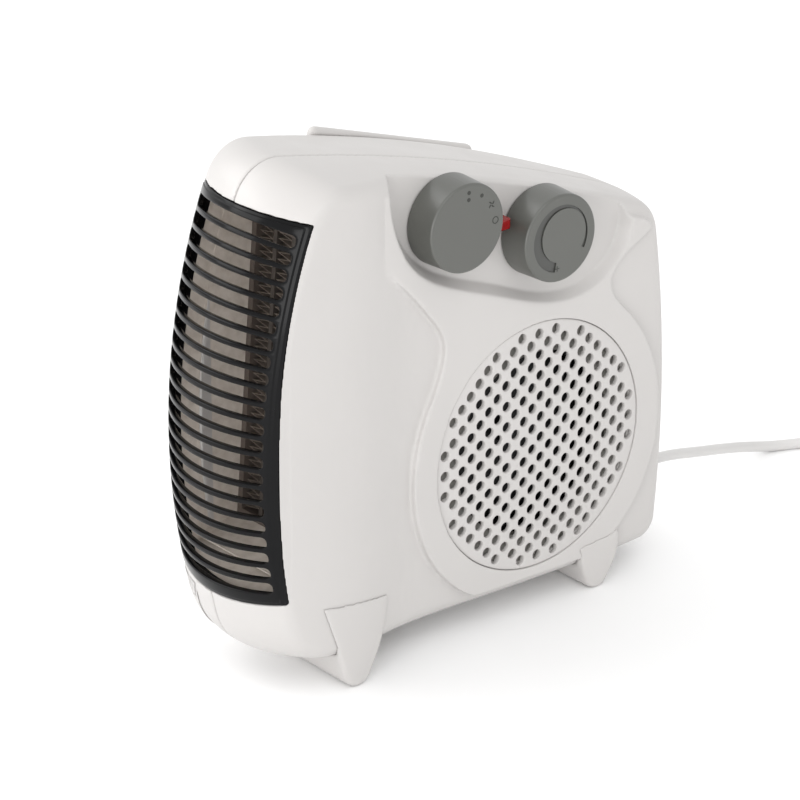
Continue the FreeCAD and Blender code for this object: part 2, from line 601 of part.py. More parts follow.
# ---------------------------------------------------------------- air path
def volute_wall(room):
    """Scroll round the blower wheel that opens into the duct towards the front."""
    def curve(extra):
        x = 0.0
        front_low = (-71.0, 50.5 - extra)
        tongue = polar(228, 56.0 + extra)
        low = polar(270, 57.5 + extra)
        rear = polar(0, 64.0 + extra)
        top = polar(90, 71.0 + extra)
        top_front = polar(112, 76.0 + extra)
        front_high = (-62.0, 219.0 + extra * 1.3)
        side = spline_edge([V(x, *tongue), V(x, *low), V(x, *polar(315, 60.5 + extra)), V(x, *rear),
                            V(x, *polar(45, 67.5 + extra)), V(x, *top), V(x, *top_front)])
        return [Part.makeLine(V(x, *front_low), V(x, *tongue)), side,
                Part.makeLine(V(x, *top_front), V(x, *front_high))], front_low, front_high
    inner_edges, low_in, high_in = curve(0.0)
    outer_edges, low_out, high_out = curve(1.8)
    caps = [Part.makeLine(V(0, *low_in), V(0, *low_out)), Part.makeLine(V(0, *high_in), V(0, *high_out))]
    wire = Part.Wire(Part.sortEdges(inner_edges + outer_edges + caps)[0])
    wall = Part.Face(wire).extrude(V(46, 0, 0))
    wall.translate(V(-16.6, 0, 0))
    return wall.common(room).cut(recess_shape(WALL + 0.4, RECESS_FLOOR_X - WALL - 0.4))


def inlet_ring():
    ring = x_tube(INLET_RADIUS - 2.6, 44.0, 30.6, 31.4, INLET)
    lip = x_tube(45.2, 44.0, IMPELLER_FRONT_X - 0.4, 31.0, INLET)
    return ring.fuse(lip)


def side_liner(x0, x1):
    """Mica sheet from behind the grille's flange to the heater's front face."""
    def at(degrees, rho=LINER_RADIUS):
        return polar(180.0 - degrees, rho, FRONT_CENTRE)
    low, high = LINER_ANGLES
    front = Part.Arc(V(x0, *at(low)), V(x0, *at((low + high) / 2)), V(x0, *at(high))).toShape()
    back = [V(x0, heater_front_y(at(angle)[1]) + 1.0, at(angle)[1]) for angle in (high, low)]
    edges = [front, Part.makeLine(V(x0, *at(high)), back[0]), Part.makeLine(*back),
             Part.makeLine(back[1], V(x0, *at(low)))]
    return Part.Face(Part.Wire(edges)).extrude(V(x1 - x0, 0, 0))


def end_liner(degrees):
    """Mica sheet across the duct's top or bottom, 0.6 thick."""
    corners = [polar(180.0 - degrees, rho, FRONT_CENTRE) for rho in (LINER_RADIUS + 6.0, 262.0)]
    lift = 0.6 if degrees > 0 else -0.6
    points = corners + [(y, z + lift) for y, z in reversed(corners)]
    return x_prism(points, DUCT_X[0], DUCT_X[1])


def duct_liners():
    """Mica sheets that line the four sides of the outlet duct in front of the heater."""
    return Part.makeCompound([side_liner(DUCT_X[0] - 0.6, DUCT_X[0]), side_liner(DUCT_X[1], DUCT_X[1] + 0.6),
                              end_liner(LINER_ANGLES[1] + 0.3), end_liner(LINER_ANGLES[0] - 0.3)])


DUCT_X = (-28.0, 40.0)
LINER_RADIUS = 284.0
LINER_ANGLES = (-10.4, 20.3)
HEATER_CENTRE = (-64.5, 132.0)
HEATER_TILT = -4.5
HEATER_DEPTH = 20.0
HEATER_HALF_HEIGHT = 73.5
HEATER_X = (DUCT_X[0] + 0.1, DUCT_X[1] - 0.1)
FIN_STACKS = 5
STONE_THICKNESS = 2.6
HEATER_RIM = 3.2
FIN_FOLDS = 84
FIN_SHEET = 1.3                 # sheet measured along the fold; about 0.2 mm across it


def heater_front_y(z):
    """Y of the heater's front face at height z."""
    return HEATER_CENTRE[0] - HEATER_DEPTH / 2 + (z - HEATER_CENTRE[1]) * math.tan(math.radians(-HEATER_TILT))


def heater_local(shape):
    """Move a piece drawn round the origin (Y depth, Z height) to the heater's place."""
    moved = rotate_about_x(shape, (0, 0), HEATER_TILT)
    moved.translate(V(0, *HEATER_CENTRE))
    return moved


def heater_columns():
    """X limits of the fin stacks and of the ceramic bars between them."""
    inside = (HEATER_X[0] + HEATER_RIM, HEATER_X[1] - HEATER_RIM)
    fin = (inside[1] - inside[0] - (FIN_STACKS - 1) * STONE_THICKNESS) / FIN_STACKS
    fins, stones = [], []
    x = inside[0]
    for k in range(FIN_STACKS):
        fins.append((x, x + fin))
        x += fin
        if k < FIN_STACKS - 1:
            stones.append((x, x + STONE_THICKNESS))
            x += STONE_THICKNESS
    return fins, stones


def heater_frame():
    half = HEATER_DEPTH / 2
    frame = box(HEATER_X[0], HEATER_X[1], -half, half, -HEATER_HALF_HEIGHT, HEATER_HALF_HEIGHT)
    opening = box(HEATER_X[0] + HEATER_RIM, HEATER_X[1] - HEATER_RIM, -half - 1, half + 1,
                  -HEATER_HALF_HEIGHT + 6, HEATER_HALF_HEIGHT - 6)
    frame = frame.makeFillet(1.5, [e for e in frame.Edges if abs(e.tangentAt(e.FirstParameter).y) > 0.9])
    return heater_local(frame.cut(opening))


def heater_fins():
    """Folded aluminium strips, one zigzag stack in each column."""
    fins, _ = heater_columns()
    height = HEATER_HALF_HEIGHT - 7.0
    stacks = []
    for x0, x1 in fins:
        turns = [V((x0 + 0.05, x1 - 0.05 - FIN_SHEET)[k % 2], 0, 2 * height * k / FIN_FOLDS - height)
                 for k in range(FIN_FOLDS + 1)]
        back = [turn + V(FIN_SHEET, 0, 0) for turn in reversed(turns)]
        strip = Part.Face(Part.makePolygon(turns + back + [turns[0]])).extrude(V(0, 16.0, 0))
        strip.translate(V(0, -8.0, 0))
        stacks.append(heater_local(strip))
    return Part.makeCompound(stacks)


def ceramic_bars():
    _, stones = heater_columns()
    height = HEATER_HALF_HEIGHT - 6.0
    bars = []
    for x0, x1 in stones:
        bar = box(x0, x1, -8.5, 8.5, -height, height)
        bars.append(heater_local(bar))
    return Part.makeCompound(bars)


def heater_terminals():
    """Three blade terminals on the frame's upper edge."""
    blades = []
    for x in (-12.0, 6.0, 24.0):
        blade = box(x - 3.0, x + 3.0, -0.4, 0.4, HEATER_HALF_HEIGHT, HEATER_HALF_HEIGHT + 7.0)
        blades.append(heater_local(blade))
    return Part.makeCompound(blades)


def thermal_cutout():
    """Round bimetal cut-out on the frame's rear face with its two tags."""
    disc = Part.makeCylinder(7.0, 4.0, V(6.0, HEATER_DEPTH / 2, 40.0), V(0, 1, 0))
    cap = Part.makeCylinder(5.0, 6.5, V(6.0, HEATER_DEPTH / 2, 40.0), V(0, 1, 0))
    strap = box(-27.0, 39.0, HEATER_DEPTH / 2, HEATER_DEPTH / 2 + 0.8, 36.0, 44.0)
    tags = [box(x, x + 4.0, HEATER_DEPTH / 2 + 4.0, HEATER_DEPTH / 2 + 11.0, 39.6, 40.4) for x in (-2.5, 10.5)]
    base = box(-4.0, 16.0, HEATER_DEPTH / 2 + 0.8, HEATER_DEPTH / 2 + 4.2, 36.5, 43.5)
    return heater_local(fuse_all([disc, cap, strap, base] + tags))


def thermal_fuse():
    """Axial fuse cartridge clipped to a strip lower on the frame's rear face."""
    strip = box(-27.0, 39.0, HEATER_DEPTH / 2, HEATER_DEPTH / 2 + 0.8, -34.0, -26.0)
    body = Part.makeCylinder(2.2, 14.0, V(-1.0, HEATER_DEPTH / 2 + 3.2, -30.0), X_AXIS)
    leads = Part.makeCylinder(0.6, 34.0, V(-11.0, HEATER_DEPTH / 2 + 3.2, -30.0), X_AXIS)
    saddles = [box(x, x + 3.0, HEATER_DEPTH / 2 + 0.6, HEATER_DEPTH / 2 + 3.2, -31.6, -28.4) for x in (-11, 20)]
    return heater_local(fuse_all([strip, body, leads] + saddles))


# ---------------------------------------------------------------- mains lead
EXIT = (-4.0, 128.0, 31.0)
TERMINAL_PLACE = (2.0, 100.5, 26.0)
COIL_CENTRE = (0.0, 308.0)
COIL_INNER = 19.4
COIL_OUTER = 35.8
COIL_HEIGHT = 21.4
WIRE_RADIUS = 1.1
ROUTE = ((-4.0, 113.0, 31.0), (-4.0, 152.0, 31.0), (-16.0, 191.0, 19.0), (-25.0, 224.0, 8.6),
         (-24.5, 248.0, FLOOR_CORD_Z), (-12.0, 270.0, FLOOR_CORD_Z), (8.0, 274.5, FLOOR_CORD_Z),
         (26.0, 285.0, FLOOR_CORD_Z), (33.0, 304.0, FLOOR_CORD_Z))
PLUG_ROUTE = ((-33.0, 308.0, FLOOR_CORD_Z), (-34.0, 325.0, FLOOR_CORD_Z), (-27.0, 343.0, 3.4),
              (-10.0, 354.0, 9.0), (8.0, 358.5, 10.5))


def cord_hole():
    return Part.makeCylinder(4.6, 14.0, V(EXIT[0], EXIT[1] - 10, EXIT[2]), V(0, 1, 0))


def rounded_route(points):
    """Straight runs joined by tangent arcs, each as large as its two runs allow."""
    route = [V(*p) for p in points]
    edges, radii, start = [], [], route[0]
    for before, corner, after in zip(route, route[1:], route[2:]):
        into, out = corner - before, after - corner
        turn = into.getAngle(out)
        reach = 0.45 * min(into.Length, out.Length)
        radii.append(reach / math.tan(turn / 2))
        u, w = into.normalize(), out.normalize()
        first, last = corner - u * reach, corner + w * reach
        inward = (w - u).normalize()
        depth = radii[-1] / math.cos(turn / 2) - radii[-1]
        edges.append(Part.makeLine(start, first))
        edges.append(Part.Arc(first, corner + inward * depth, last).toShape())
        start = last
    edges.append(Part.makeLine(start, route[-1]))
    return Part.Wire(edges), radii


def cord_tube(name, points):
    path, radii = rounded_route(points)
    print(name, "bend radii", [round(r, 1) for r in radii], "length", round(path.Length, 1))
    start = V(*points[0])
    direction = (V(*points[1]) - start).normalize()
    section = Part.Wire(Part.makeCircle(CORD_RADIUS, start, direction))
    tube = path.makePipeShell([section], True, False)
    ratio = tube.Volume / (math.pi * CORD_RADIUS ** 2 * path.Length)
    print(name, "volume against section times length", round(ratio, 4), tube.isValid())
    return tube


def strain_relief():
    """Tapered sleeve with a flange against the outside of the shell wall."""
    def along_y(radius0, radius1, y0, y1):
        return Part.makeCone(radius0, radius1, y1 - y0, V(EXIT[0], y0, EXIT[2]), V(0, 1, 0))
    barrel = Part.makeCylinder(4.5, 6.0, V(EXIT[0], EXIT[1] - 6.0, EXIT[2]), V(0, 1, 0))
    flange = Part.makeCylinder(6.2, 1.6, V(EXIT[0], EXIT[1] - 1.0, EXIT[2]), V(0, 1, 0))
    tail = along_y(4.7, 3.7, EXIT[1], EXIT[1] + 20.5)
    bore = Part.makeCylinder(CORD_RADIUS, 60.0, V(EXIT[0], EXIT[1] - 20, EXIT[2]), V(0, 1, 0))
    return barrel.fuse(tail).fuse(flange).cut(bore)


def cord_clamp():
    """Saddle clamp that grips the lead just inside the rear wall."""
    x, y, z = EXIT[0], EXIT[1] - 13.5, EXIT[2]
    saddle = box(x - 9.0, x + 9.0, y, y + 6.0, z - 4.5, z + 4.5)
    saddle = saddle.makeFillet(1.2, saddle.Edges)
    return saddle.cut(Part.makeCylinder(CORD_RADIUS, 20, V(x, y - 5, z), V(0, 1, 0)))


def terminal_block():
    x, y, z = TERMINAL_PLACE
    block = box(x - 13, x + 13, y - 5, y + 6, z - 2.0, z + 9.0)
    block = block.makeFillet(0.8, block.Edges)
    wells = [Part.makeCylinder(2.0, 6, V(x + dx, y + 0.5, z + 4.5), V(0, 0, 1)) for dx in (-8, 0, 8)]
    return block.cut(fuse_all(wells))


def coil_solid():
    x, y = COIL_CENTRE
    ring = Part.makeCylinder(COIL_OUTER, COIL_HEIGHT, V(x, y, 0.1)).cut(
        Part.makeCylinder(COIL_INNER, COIL_HEIGHT + 2, V(x, y, -1)))
    return ring.makeFillet(2.4, [e for e in ring.Edges if e.Length > 60])


def coil_tie():
    x, y = COIL_CENTRE
    outer = box(-4.0, 4.0, COIL_INNER - 2.0, COIL_OUTER + 1.4, 0.0, COIL_HEIGHT + 1.4)
    inner = box(-5.0, 5.0, COIL_INNER - 0.8, COIL_OUTER + 0.3, 0.0, COIL_HEIGHT + 0.2)
    tie = outer.cut(inner)
    tie.translate(V(x, y, 0))
    return tie


def plug_body():
    """Slim two-pin plug lying on its side, with a tapered tail round the lead."""
    x, y, z = PLUG_ROUTE[-1]
    body = box(x, x + 34.0, y - 15.0, y + 15.0, 0.0, z + 9.0)
    body = body.makeFillet(3.6, body.Edges)
    tail = Part.makeCone(3.4, 6.0, 16.0, V(x - 14.0, y, z), X_AXIS)
    lead = V(*PLUG_ROUTE[-1]) - V(*PLUG_ROUTE[-2])
    bore = Part.makeCylinder(CORD_RADIUS, 60, V(*PLUG_ROUTE[-1]) - lead.normalize() * 60, lead)
    return body.fuse(tail).cut(bore)


def plug_pins():
    x, y, z = PLUG_ROUTE[-1]
    pins = []
    for dy in (-9.5, 9.5):
        pin = Part.makeCylinder(2.4, 18.0, V(x + 34.0, y + dy, z), X_AXIS)
        pin = pin.fuse(Part.makeSphere(2.4, V(x + 52.0, y + dy, z)))
        pins.append(pin)
    return Part.makeCompound(pins)


def wiring():
    """Insulated leads from the terminal block to the thermostat and the switch."""
    runs = (((12.0, 106.5, 30.0), (12.0, 115.0, 45.0), (12.0, 117.5, 80.0), (12.0, 114.0, 118.0),
             (12.0, 101.0, 146.0), (12.0, 75.0, 160.0), (12.0, 50.0, 166.0), (12.0, 47.0, 179.0)),
            ((-8.0, 106.5, 30.0), (-8.0, 115.0, 45.0), (-7.0, 117.0, 80.0), (-5.0, 112.0, 118.0),
             (-2.0, 98.0, 146.0), (2.0, 66.0, 160.0), (5.0, 30.0, 168.0), (8.0, 4.0, 176.0),
             (9.0, -3.0, 190.5)))
    leads = []
    for points in runs:
        path, _ = rounded_route(points)
        start = V(*points[0])
        section = Part.Wire(Part.makeCircle(WIRE_RADIUS, start, V(*points[1]) - start))
        leads.append(path.makePipeShell([section], True, False))
    return Part.makeCompound(leads)


# ---------------------------------------------------------------- assembly
# Pieces that are notched where they fit round another one, each as (piece, what it fits round).
NOTCHED = (("cord_clamp", "back_shell"), ("duct_liners", "back_shell"), ("volute_wall", "back_shell"),
           ("control_bracket", "control_side_shell"), ("heater_frame", "duct_liners"),
           ("rear_foot", "control_side_shell"), ("front_foot", "housing_screws"), ("side_feet", "front_foot"), ("side_feet", "housing_screws"),
           ("wiring", "switch_body"), ("wiring", "terminal_block"), ("wiring", "thermostat_body"))


def notch(nodes):
    for name, neighbour in NOTCHED:
        solids = [s for s in nodes[name].cut(nodes[neighbour]).Solids if s.Volume > 8.0]
        nodes[name] = solids[0] if len(solids) == 1 else Part.makeCompound(solids)
    return nodes


def build():
    outer, inner = half_body(0.0), half_body(WALL)
    back = (BACK_CURVE, BACK_CROWN)
    body = half_body(0.0, 0.0).fuse(mirrored(half_body(0.0, 0.0, *back)))
    room = half_loft(WALL + 0.6).fuse(mirrored(half_loft(WALL + 0.6)))
    room = room.fuse(Part.Face(outline_wire(PARTING_X - 1, 0.0, WALL + 0.6)).extrude(V(2, 0, 0)))
    thin = under_curve(SIDE_CURVE, WALL + 0.6)
    room = room.common(thin).common(mirrored(thin))
    nodes = {
        "control_side_shell": control_side_shell(outer, inner),
        "back_shell": back_shell(half_body(0.0, PARTING_GAP, *back), half_body(WALL, PARTING_GAP, *back)),
        "outlet_grille": outlet_grille(),
        "inlet_grille": inlet_grille(),
        "front_foot": foot_bar((-89.6, 45.4), (-47.6, 38.1), (-67.3, 8.2), 8.5, 1.2, body),
        "rear_foot": foot_bar((66.3, 24.3), (92.3, 26.7), (79.6, 6.7), 7.0, 3.4, body),
        "side_feet": side_feet(body),
        "top_rail": top_rail(body),
        "switch_knob": knob(SWITCH_AXIS),
        "thermostat_knob": thermostat_knob(),
        "switch_spindle": x_cylinder(SPINDLE_RADIUS, 12.5, KNOB_FRONT_X - 4.4, SWITCH_AXIS),
        "thermostat_spindle": x_cylinder(SPINDLE_RADIUS, 12.5, KNOB_FRONT_X - 4.4, THERMOSTAT_AXIS),
        "switch_body": control_body(SWITCH_AXIS, 11.0, 13.0, 4.0),
        "thermostat_body": control_body(THERMOSTAT_AXIS, 14.0, 9.0, 8.0),
        "control_bracket": control_bracket(),
        "indicator_lens": indicator_lens(),
        "indicator_lamp": indicator_lamp(),
        "impeller": impeller(),
        "motor_shaft": motor_shaft(),
        "motor_rotor": motor_rotor(),
        "motor_stator": motor_stator(),
        "motor_coil": motor_coil(),
        "motor_brackets": motor_brackets(),
        "motor_bearings": motor_bearings(),
        "motor_spacers": motor_spacers(),
        "motor_plate": motor_plate(),
        "motor_screws": motor_screws(),
        "housing_screws": housing_screws(),
        "volute_wall": volute_wall(room),
        "inlet_ring": inlet_ring(),
        "duct_liners": duct_liners(),
        "heater_frame": heater_frame().common(thin),
        "heater_fins": heater_fins(),
        "ceramic_bars": ceramic_bars(),
        "heater_terminals": heater_terminals(),
        "thermal_cutout": thermal_cutout().common(thin),
        "thermal_fuse": thermal_fuse().common(thin),
        "wiring": wiring(),
        "terminal_block": terminal_block(),
        "cord_clamp": cord_clamp(),
        "strain_relief": strain_relief(),
        "power_cord": cord_tube("power_cord", ROUTE),
        "plug_lead": cord_tube("plug_lead", PLUG_ROUTE),
        "cord_coil": coil_solid(),
        "coil_tie": coil_tie(),
        "plug_body": plug_body(),
        "plug_pins": plug_pins(),
    }
    return notch(nodes)


def main():
    os.makedirs("parts", exist_ok=True)
    nodes = build()
    for name, shape in nodes.items():
        shape.exportStep("parts/" + name + ".step")
        bounds = shape.optimalBoundingBox(False, False)
        print(name, "solids", len(shape.Solids), "valid", shape.isValid(), "volume", round(shape.Volume),
              "box", [round(v, 1) for v in (bounds.XMin, bounds.XMax, bounds.YMin, bounds.YMax,
                                            bounds.ZMin, bounds.ZMax)])


main()
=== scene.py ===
import bmesh
import bpy
import json
import math
import numpy as np
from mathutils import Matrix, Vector


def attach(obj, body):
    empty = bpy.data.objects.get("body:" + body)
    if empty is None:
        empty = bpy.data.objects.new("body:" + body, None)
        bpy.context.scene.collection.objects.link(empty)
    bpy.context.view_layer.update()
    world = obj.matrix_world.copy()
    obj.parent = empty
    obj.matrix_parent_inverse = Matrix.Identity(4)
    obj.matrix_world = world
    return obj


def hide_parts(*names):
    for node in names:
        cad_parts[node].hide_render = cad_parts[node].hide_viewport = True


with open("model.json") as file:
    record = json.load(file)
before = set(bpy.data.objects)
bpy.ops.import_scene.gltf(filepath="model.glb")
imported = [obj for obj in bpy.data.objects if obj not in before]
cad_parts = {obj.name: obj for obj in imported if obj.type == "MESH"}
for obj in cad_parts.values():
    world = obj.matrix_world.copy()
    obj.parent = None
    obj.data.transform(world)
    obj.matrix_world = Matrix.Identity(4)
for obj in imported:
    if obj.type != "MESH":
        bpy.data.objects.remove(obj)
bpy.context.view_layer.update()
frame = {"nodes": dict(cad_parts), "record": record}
nodes = frame["nodes"]
scene = bpy.context.scene

# Places shared with the CAD. +X is the control side, -Y the front, and the floor is Z = 0.
MM = 0.001
PARTING_X = 6.0 * MM
INLET = Vector((0.0, 42.5, 82.3)) * MM
SWITCH = Vector((0.0, -8.6, 202.9)) * MM
THERMOSTAT = Vector((0.0, 44.9, 185.0)) * MM
KNOB_FACE = 45.8 * MM
# Reach and top of the thermostat groove's floor, the area that knob_plastic darkens with painted shade.
GROOVE_REACH = 15.8 * MM
GROOVE_TOP = KNOB_FACE - 0.3 * MM


# ---------------------------------------------------------------- materials
SHELL_WHITE = (0.53, 0.513, 0.50)
KNOB_GREY = (0.078, 0.080, 0.071)
FINE_GRAIN = 0.00003
PLASTIC_IOR = 1.49


def new_material(name):
    material = bpy.data.materials.new(name)
    material.use_nodes = True
    tree = material.node_tree
    tree.nodes.clear()
    output = tree.nodes.new("ShaderNodeOutputMaterial")
    shader = tree.nodes.new("ShaderNodeBsdfPrincipled")
    tree.links.new(shader.outputs["BSDF"], output.inputs["Surface"])
    return material, tree, shader


def noise(tree, scale, detail=3.0, stretch=None):
    coordinates = tree.nodes.new("ShaderNodeTexCoord")
    texture = tree.nodes.new("ShaderNodeTexNoise")
    texture.inputs["Scale"].default_value = scale
    texture.inputs["Detail"].default_value = detail
    source = coordinates.outputs["Object"]
    if stretch:
        mapping = tree.nodes.new("ShaderNodeMapping")
        mapping.inputs["Scale"].default_value = stretch
        tree.links.new(source, mapping.inputs["Vector"])
        source = mapping.outputs["Vector"]
    tree.links.new(source, texture.inputs["Vector"])
    return texture.outputs["Fac"]


def ramp(tree, source, stops):
    node = tree.nodes.new("ShaderNodeValToRGB")
    elements = node.color_ramp.elements
    elements[0].position, elements[0].color = stops[0][0], (*stops[0][1], 1.0)
    elements[1].position, elements[1].color = stops[-1][0], (*stops[-1][1], 1.0)
    for position, colour in stops[1:-1]:
        elements.new(position).color = (*colour, 1.0)
    tree.links.new(source, node.inputs["Fac"])
    return node.outputs["Color"]


def spread(tree, source, low, high):
    """Noise stretched from its usual span to the range from low to high."""
    node = tree.nodes.new("ShaderNodeMapRange")
    node.inputs["From Min"].default_value = 0.3
    node.inputs["From Max"].default_value = 0.7
    node.inputs["To Min"].default_value = low
    node.inputs["To Max"].default_value = high
    tree.links.new(source, node.inputs["Value"])
    return node.outputs["Result"]


def bump(tree, shader, source, distance, strength=1.0):
    node = tree.nodes.new("ShaderNodeBump")
    node.inputs["Distance"].default_value = distance
    node.inputs["Strength"].default_value = strength
    tree.links.new(source, node.inputs["Height"])
    tree.links.new(node.outputs["Normal"], shader.inputs["Normal"])


def shade(colour, factor):
    return tuple(min(1.0, c * factor) for c in colour)


def drift(tree, texture, colour, darker, lighter):
    """The colour, drifting between two factors of itself over a noise texture."""
    return ramp(tree, texture, [(0.3, shade(colour, darker)), (0.7, shade(colour, lighter))])


def moulded(name, colour, roughness, grain, depth, vary=0.03, specular=0.5):
    """Moulded plastic: slight tone drift, uneven polish and a fine spark-eroded grain."""
    material, tree, shader = new_material(name)
    tree.links.new(drift(tree, noise(tree, 18.0, 4.0), colour, 1 - vary, 1 + vary),
                   shader.inputs["Base Color"])
    tree.links.new(spread(tree, noise(tree, 55.0, 5.0), roughness * 0.9, roughness * 1.12),
                   shader.inputs["Roughness"])
    bump(tree, shader, noise(tree, grain, 2.0), depth)
    shader.inputs["IOR"].default_value = PLASTIC_IOR
    shader.inputs["Specular IOR Level"].default_value = specular
    return material


def metal(name, colour, roughness, stretch, depth=0.00002):
    """Rolled or turned metal with fine lines along one direction."""
    material, tree, shader = new_material(name)
    lines = noise(tree, 900.0, 3.0, stretch)
    tree.links.new(drift(tree, noise(tree, 60.0, 4.0), colour, 0.86, 1.1), shader.inputs["Base Color"])
    tree.links.new(spread(tree, lines, roughness * 0.75, roughness * 1.3), shader.inputs["Roughness"])
    bump(tree, shader, lines, depth)
    shader.inputs["Metallic"].default_value = 1.0
    return material


def mica_sheet():
    """Grey-brown mica with small flakes."""
    material, tree, shader = new_material("mica")
    flakes = noise(tree, 260.0, 6.0)
    tree.links.new(ramp(tree, flakes, [(0.28, (0.54, 0.48, 0.42)), (0.5, (0.62, 0.56, 0.50)),
                                       (0.75, (0.7, 0.64, 0.58))]), shader.inputs["Base Color"])
    tree.links.new(spread(tree, flakes, 0.45, 0.7), shader.inputs["Roughness"])
    bump(tree, shader, flakes, 0.0002)
    return material


def knob_plastic():
    """Grey knob plastic, with painted shade darkening the floor of the thermostat's crescent groove."""
    material, tree, shader = new_material("knob_grey")

    def maths(operation, a, b=0.0):
        node = tree.nodes.new("ShaderNodeMath")
        node.operation = operation
        for socket, value in zip(node.inputs, (a, b)):
            if isinstance(value, float):
                socket.default_value = value
            else:
                tree.links.new(value, socket)
        return node.outputs["Value"]

    split = tree.nodes.new("ShaderNodeSeparateXYZ")
    tree.links.new(tree.nodes.new("ShaderNodeTexCoord").outputs["Object"], split.inputs["Vector"])
    # Mask of the groove's floor, inside its reach and below the face: the area where shade is painted into
    # the colour.
    across = maths("POWER", maths("SUBTRACT", split.outputs["Y"], THERMOSTAT.y), 2.0)
    upward = maths("POWER", maths("SUBTRACT", split.outputs["Z"], THERMOSTAT.z), 2.0)
    painted_groove_shade = maths("MULTIPLY", maths("LESS_THAN", maths("SQRT", maths("ADD", across, upward)), GROOVE_REACH),
                   maths("LESS_THAN", split.outputs["X"], GROOVE_TOP))
    mix = tree.nodes.new("ShaderNodeMix")
    mix.data_type = "RGBA"
    first_colour, painted_shade_colour, mixed = mix.inputs[6], mix.inputs[7], mix.outputs[2]
    tree.links.new(painted_groove_shade, mix.inputs["Factor"])
    tree.links.new(drift(tree, noise(tree, 18.0, 4.0), KNOB_GREY, 0.97, 1.03), first_colour)
    # Painted shade: the groove's floor takes 0.45 of the knob's grey.
    painted_shade_colour.default_value = (*shade(KNOB_GREY, 0.45), 1.0)
    tree.links.new(mixed, shader.inputs["Base Color"])
    tree.links.new(spread(tree, noise(tree, 55.0, 5.0), 0.34, 0.42), shader.inputs["Roughness"])
    bump(tree, shader, noise(tree, 2400.0, 2.0), 0.00002)
    shader.inputs["IOR"].default_value = PLASTIC_IOR
    shader.inputs["Specular IOR Level"].default_value = 0.9
    return material


def tinted_clear(name, colour, roughness=0.12):
    """Tinted, partly see-through plastic or glass."""
    material, tree, shader = new_material(name)
    tree.links.new(drift(tree, noise(tree, 300.0), colour, 0.9, 1.1), shader.inputs["Base Color"])
    shader.inputs["Roughness"].default_value = roughness
    shader.inputs["Transmission Weight"].default_value = 0.45
    shader.inputs["IOR"].default_value = 1.5
    return material


MATERIALS = {
    "shell_white": moulded("shell_white", SHELL_WHITE, 0.40, 1900.0, FINE_GRAIN, 0.012),
    "inlet_white": moulded("inlet_white", SHELL_WHITE, 0.42, 1900.0, FINE_GRAIN, 0.012),
    "grille_black": moulded("grille_black", (0.004, 0.004, 0.0045), 0.14, 1200.0, 0.000005, 0.1, 0.16),
    "knob_grey": knob_plastic(),
    "knob_mark": moulded("knob_mark", (0.03, 0.031, 0.027), 0.5, 2400.0, 0.00002, 0.05),
    "lens_red": tinted_clear("lens_red", (0.42, 0.006, 0.008)),
    "lamp_glass": tinted_clear("lamp_glass", (0.85, 0.5, 0.4), 0.05),
    "dark_plastic": moulded("dark_plastic", (0.02, 0.02, 0.021), 0.45, 1500.0, 0.00004, 0.1),
    "spindle_plastic": moulded("spindle_plastic", (0.62, 0.6, 0.54), 0.5, 1500.0, FINE_GRAIN, 0.04),
    "zinc_steel": metal("zinc_steel", (0.58, 0.58, 0.56), 0.32, (1.0, 0.08, 1.0)),
    "bright_steel": metal("bright_steel", (0.66, 0.66, 0.66), 0.22, (0.06, 1.0, 1.0)),
    "lamination_steel": metal("lamination_steel", (0.24, 0.24, 0.26), 0.42, (4.0, 0.02, 0.02), 0.00008),
    "bearing_bronze": metal("bearing_bronze", (0.48, 0.3, 0.14), 0.38, (1.0, 1.0, 1.0)),
    "winding_copper": metal("winding_copper", (0.62, 0.24, 0.1), 0.3, (0.05, 0.05, 3.0), 0.0002),
    "duct_plastic": moulded("duct_plastic", (0.3, 0.29, 0.27), 0.5, 1500.0, 0.00004, 0.06),
    "mica": mica_sheet(),
    "frame_brown": moulded("frame_brown", (0.10, 0.08, 0.068), 0.5, 1200.0, 0.00006, 0.15),
    "fin_aluminium": moulded("fin_aluminium", (0.2, 0.165, 0.14), 0.5, 900.0, 0.00004, 0.2),
    "ptc_ceramic": moulded("ptc_ceramic", (0.06, 0.049, 0.041), 0.7, 900.0, 0.0001, 0.12),
    "wire_pvc": moulded("wire_pvc", (0.05, 0.1, 0.3), 0.4, 1500.0, 0.00002, 0.05),
    "cord_white": moulded("cord_white", (0.6, 0.59, 0.58), 0.36, 900.0, FINE_GRAIN, 0.02),
    "plug_white": moulded("plug_white", (0.79, 0.78, 0.765), 0.4, 1500.0, FINE_GRAIN, 0.02),
    "tie_black": moulded("tie_black", (0.015, 0.015, 0.015), 0.45, 1500.0, FINE_GRAIN, 0.1),
}

SLOTS = {row["node"]: row["material_slot"] for row in frame["record"]["subparts"]}


def dress(obj, slot):
    """The CAD object in its record slot's material."""
    obj.data.materials.clear()
    obj.data.materials.append(MATERIALS[slot])


for node_name, node in nodes.items():
    dress(node, SLOTS[node_name])


# ---------------------------------------------------------------- mesh helpers
def add_piece(name, mesh, slot, body, replaced=(), smooth_angle=35.0):
    """A new object that moves with a body and takes the place of the replaced CAD nodes, if any."""
    obj = bpy.data.objects.new(name, mesh)
    scene.collection.objects.link(obj)
    mesh.materials.clear()
    mesh.materials.append(MATERIALS[slot])
    mesh.shade_smooth()
    mesh.set_sharp_from_angle(angle=math.radians(smooth_angle))
    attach(obj, body)
    if replaced:
        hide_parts(*replaced)
    return obj


def mesh_from(name, points, faces, merge):
    """A mesh with points closer than `merge` joined and its faces turned outwards."""
    mesh = bpy.data.meshes.new(name)
    mesh.from_pydata([tuple(p) for p in points], [], faces)
    work = bmesh.new()
    work.from_mesh(mesh)
    bmesh.ops.remove_doubles(work, verts=work.verts, dist=merge)
    bmesh.ops.recalc_face_normals(work, faces=work.faces)
    work.to_mesh(mesh)
    work.free()
    return mesh


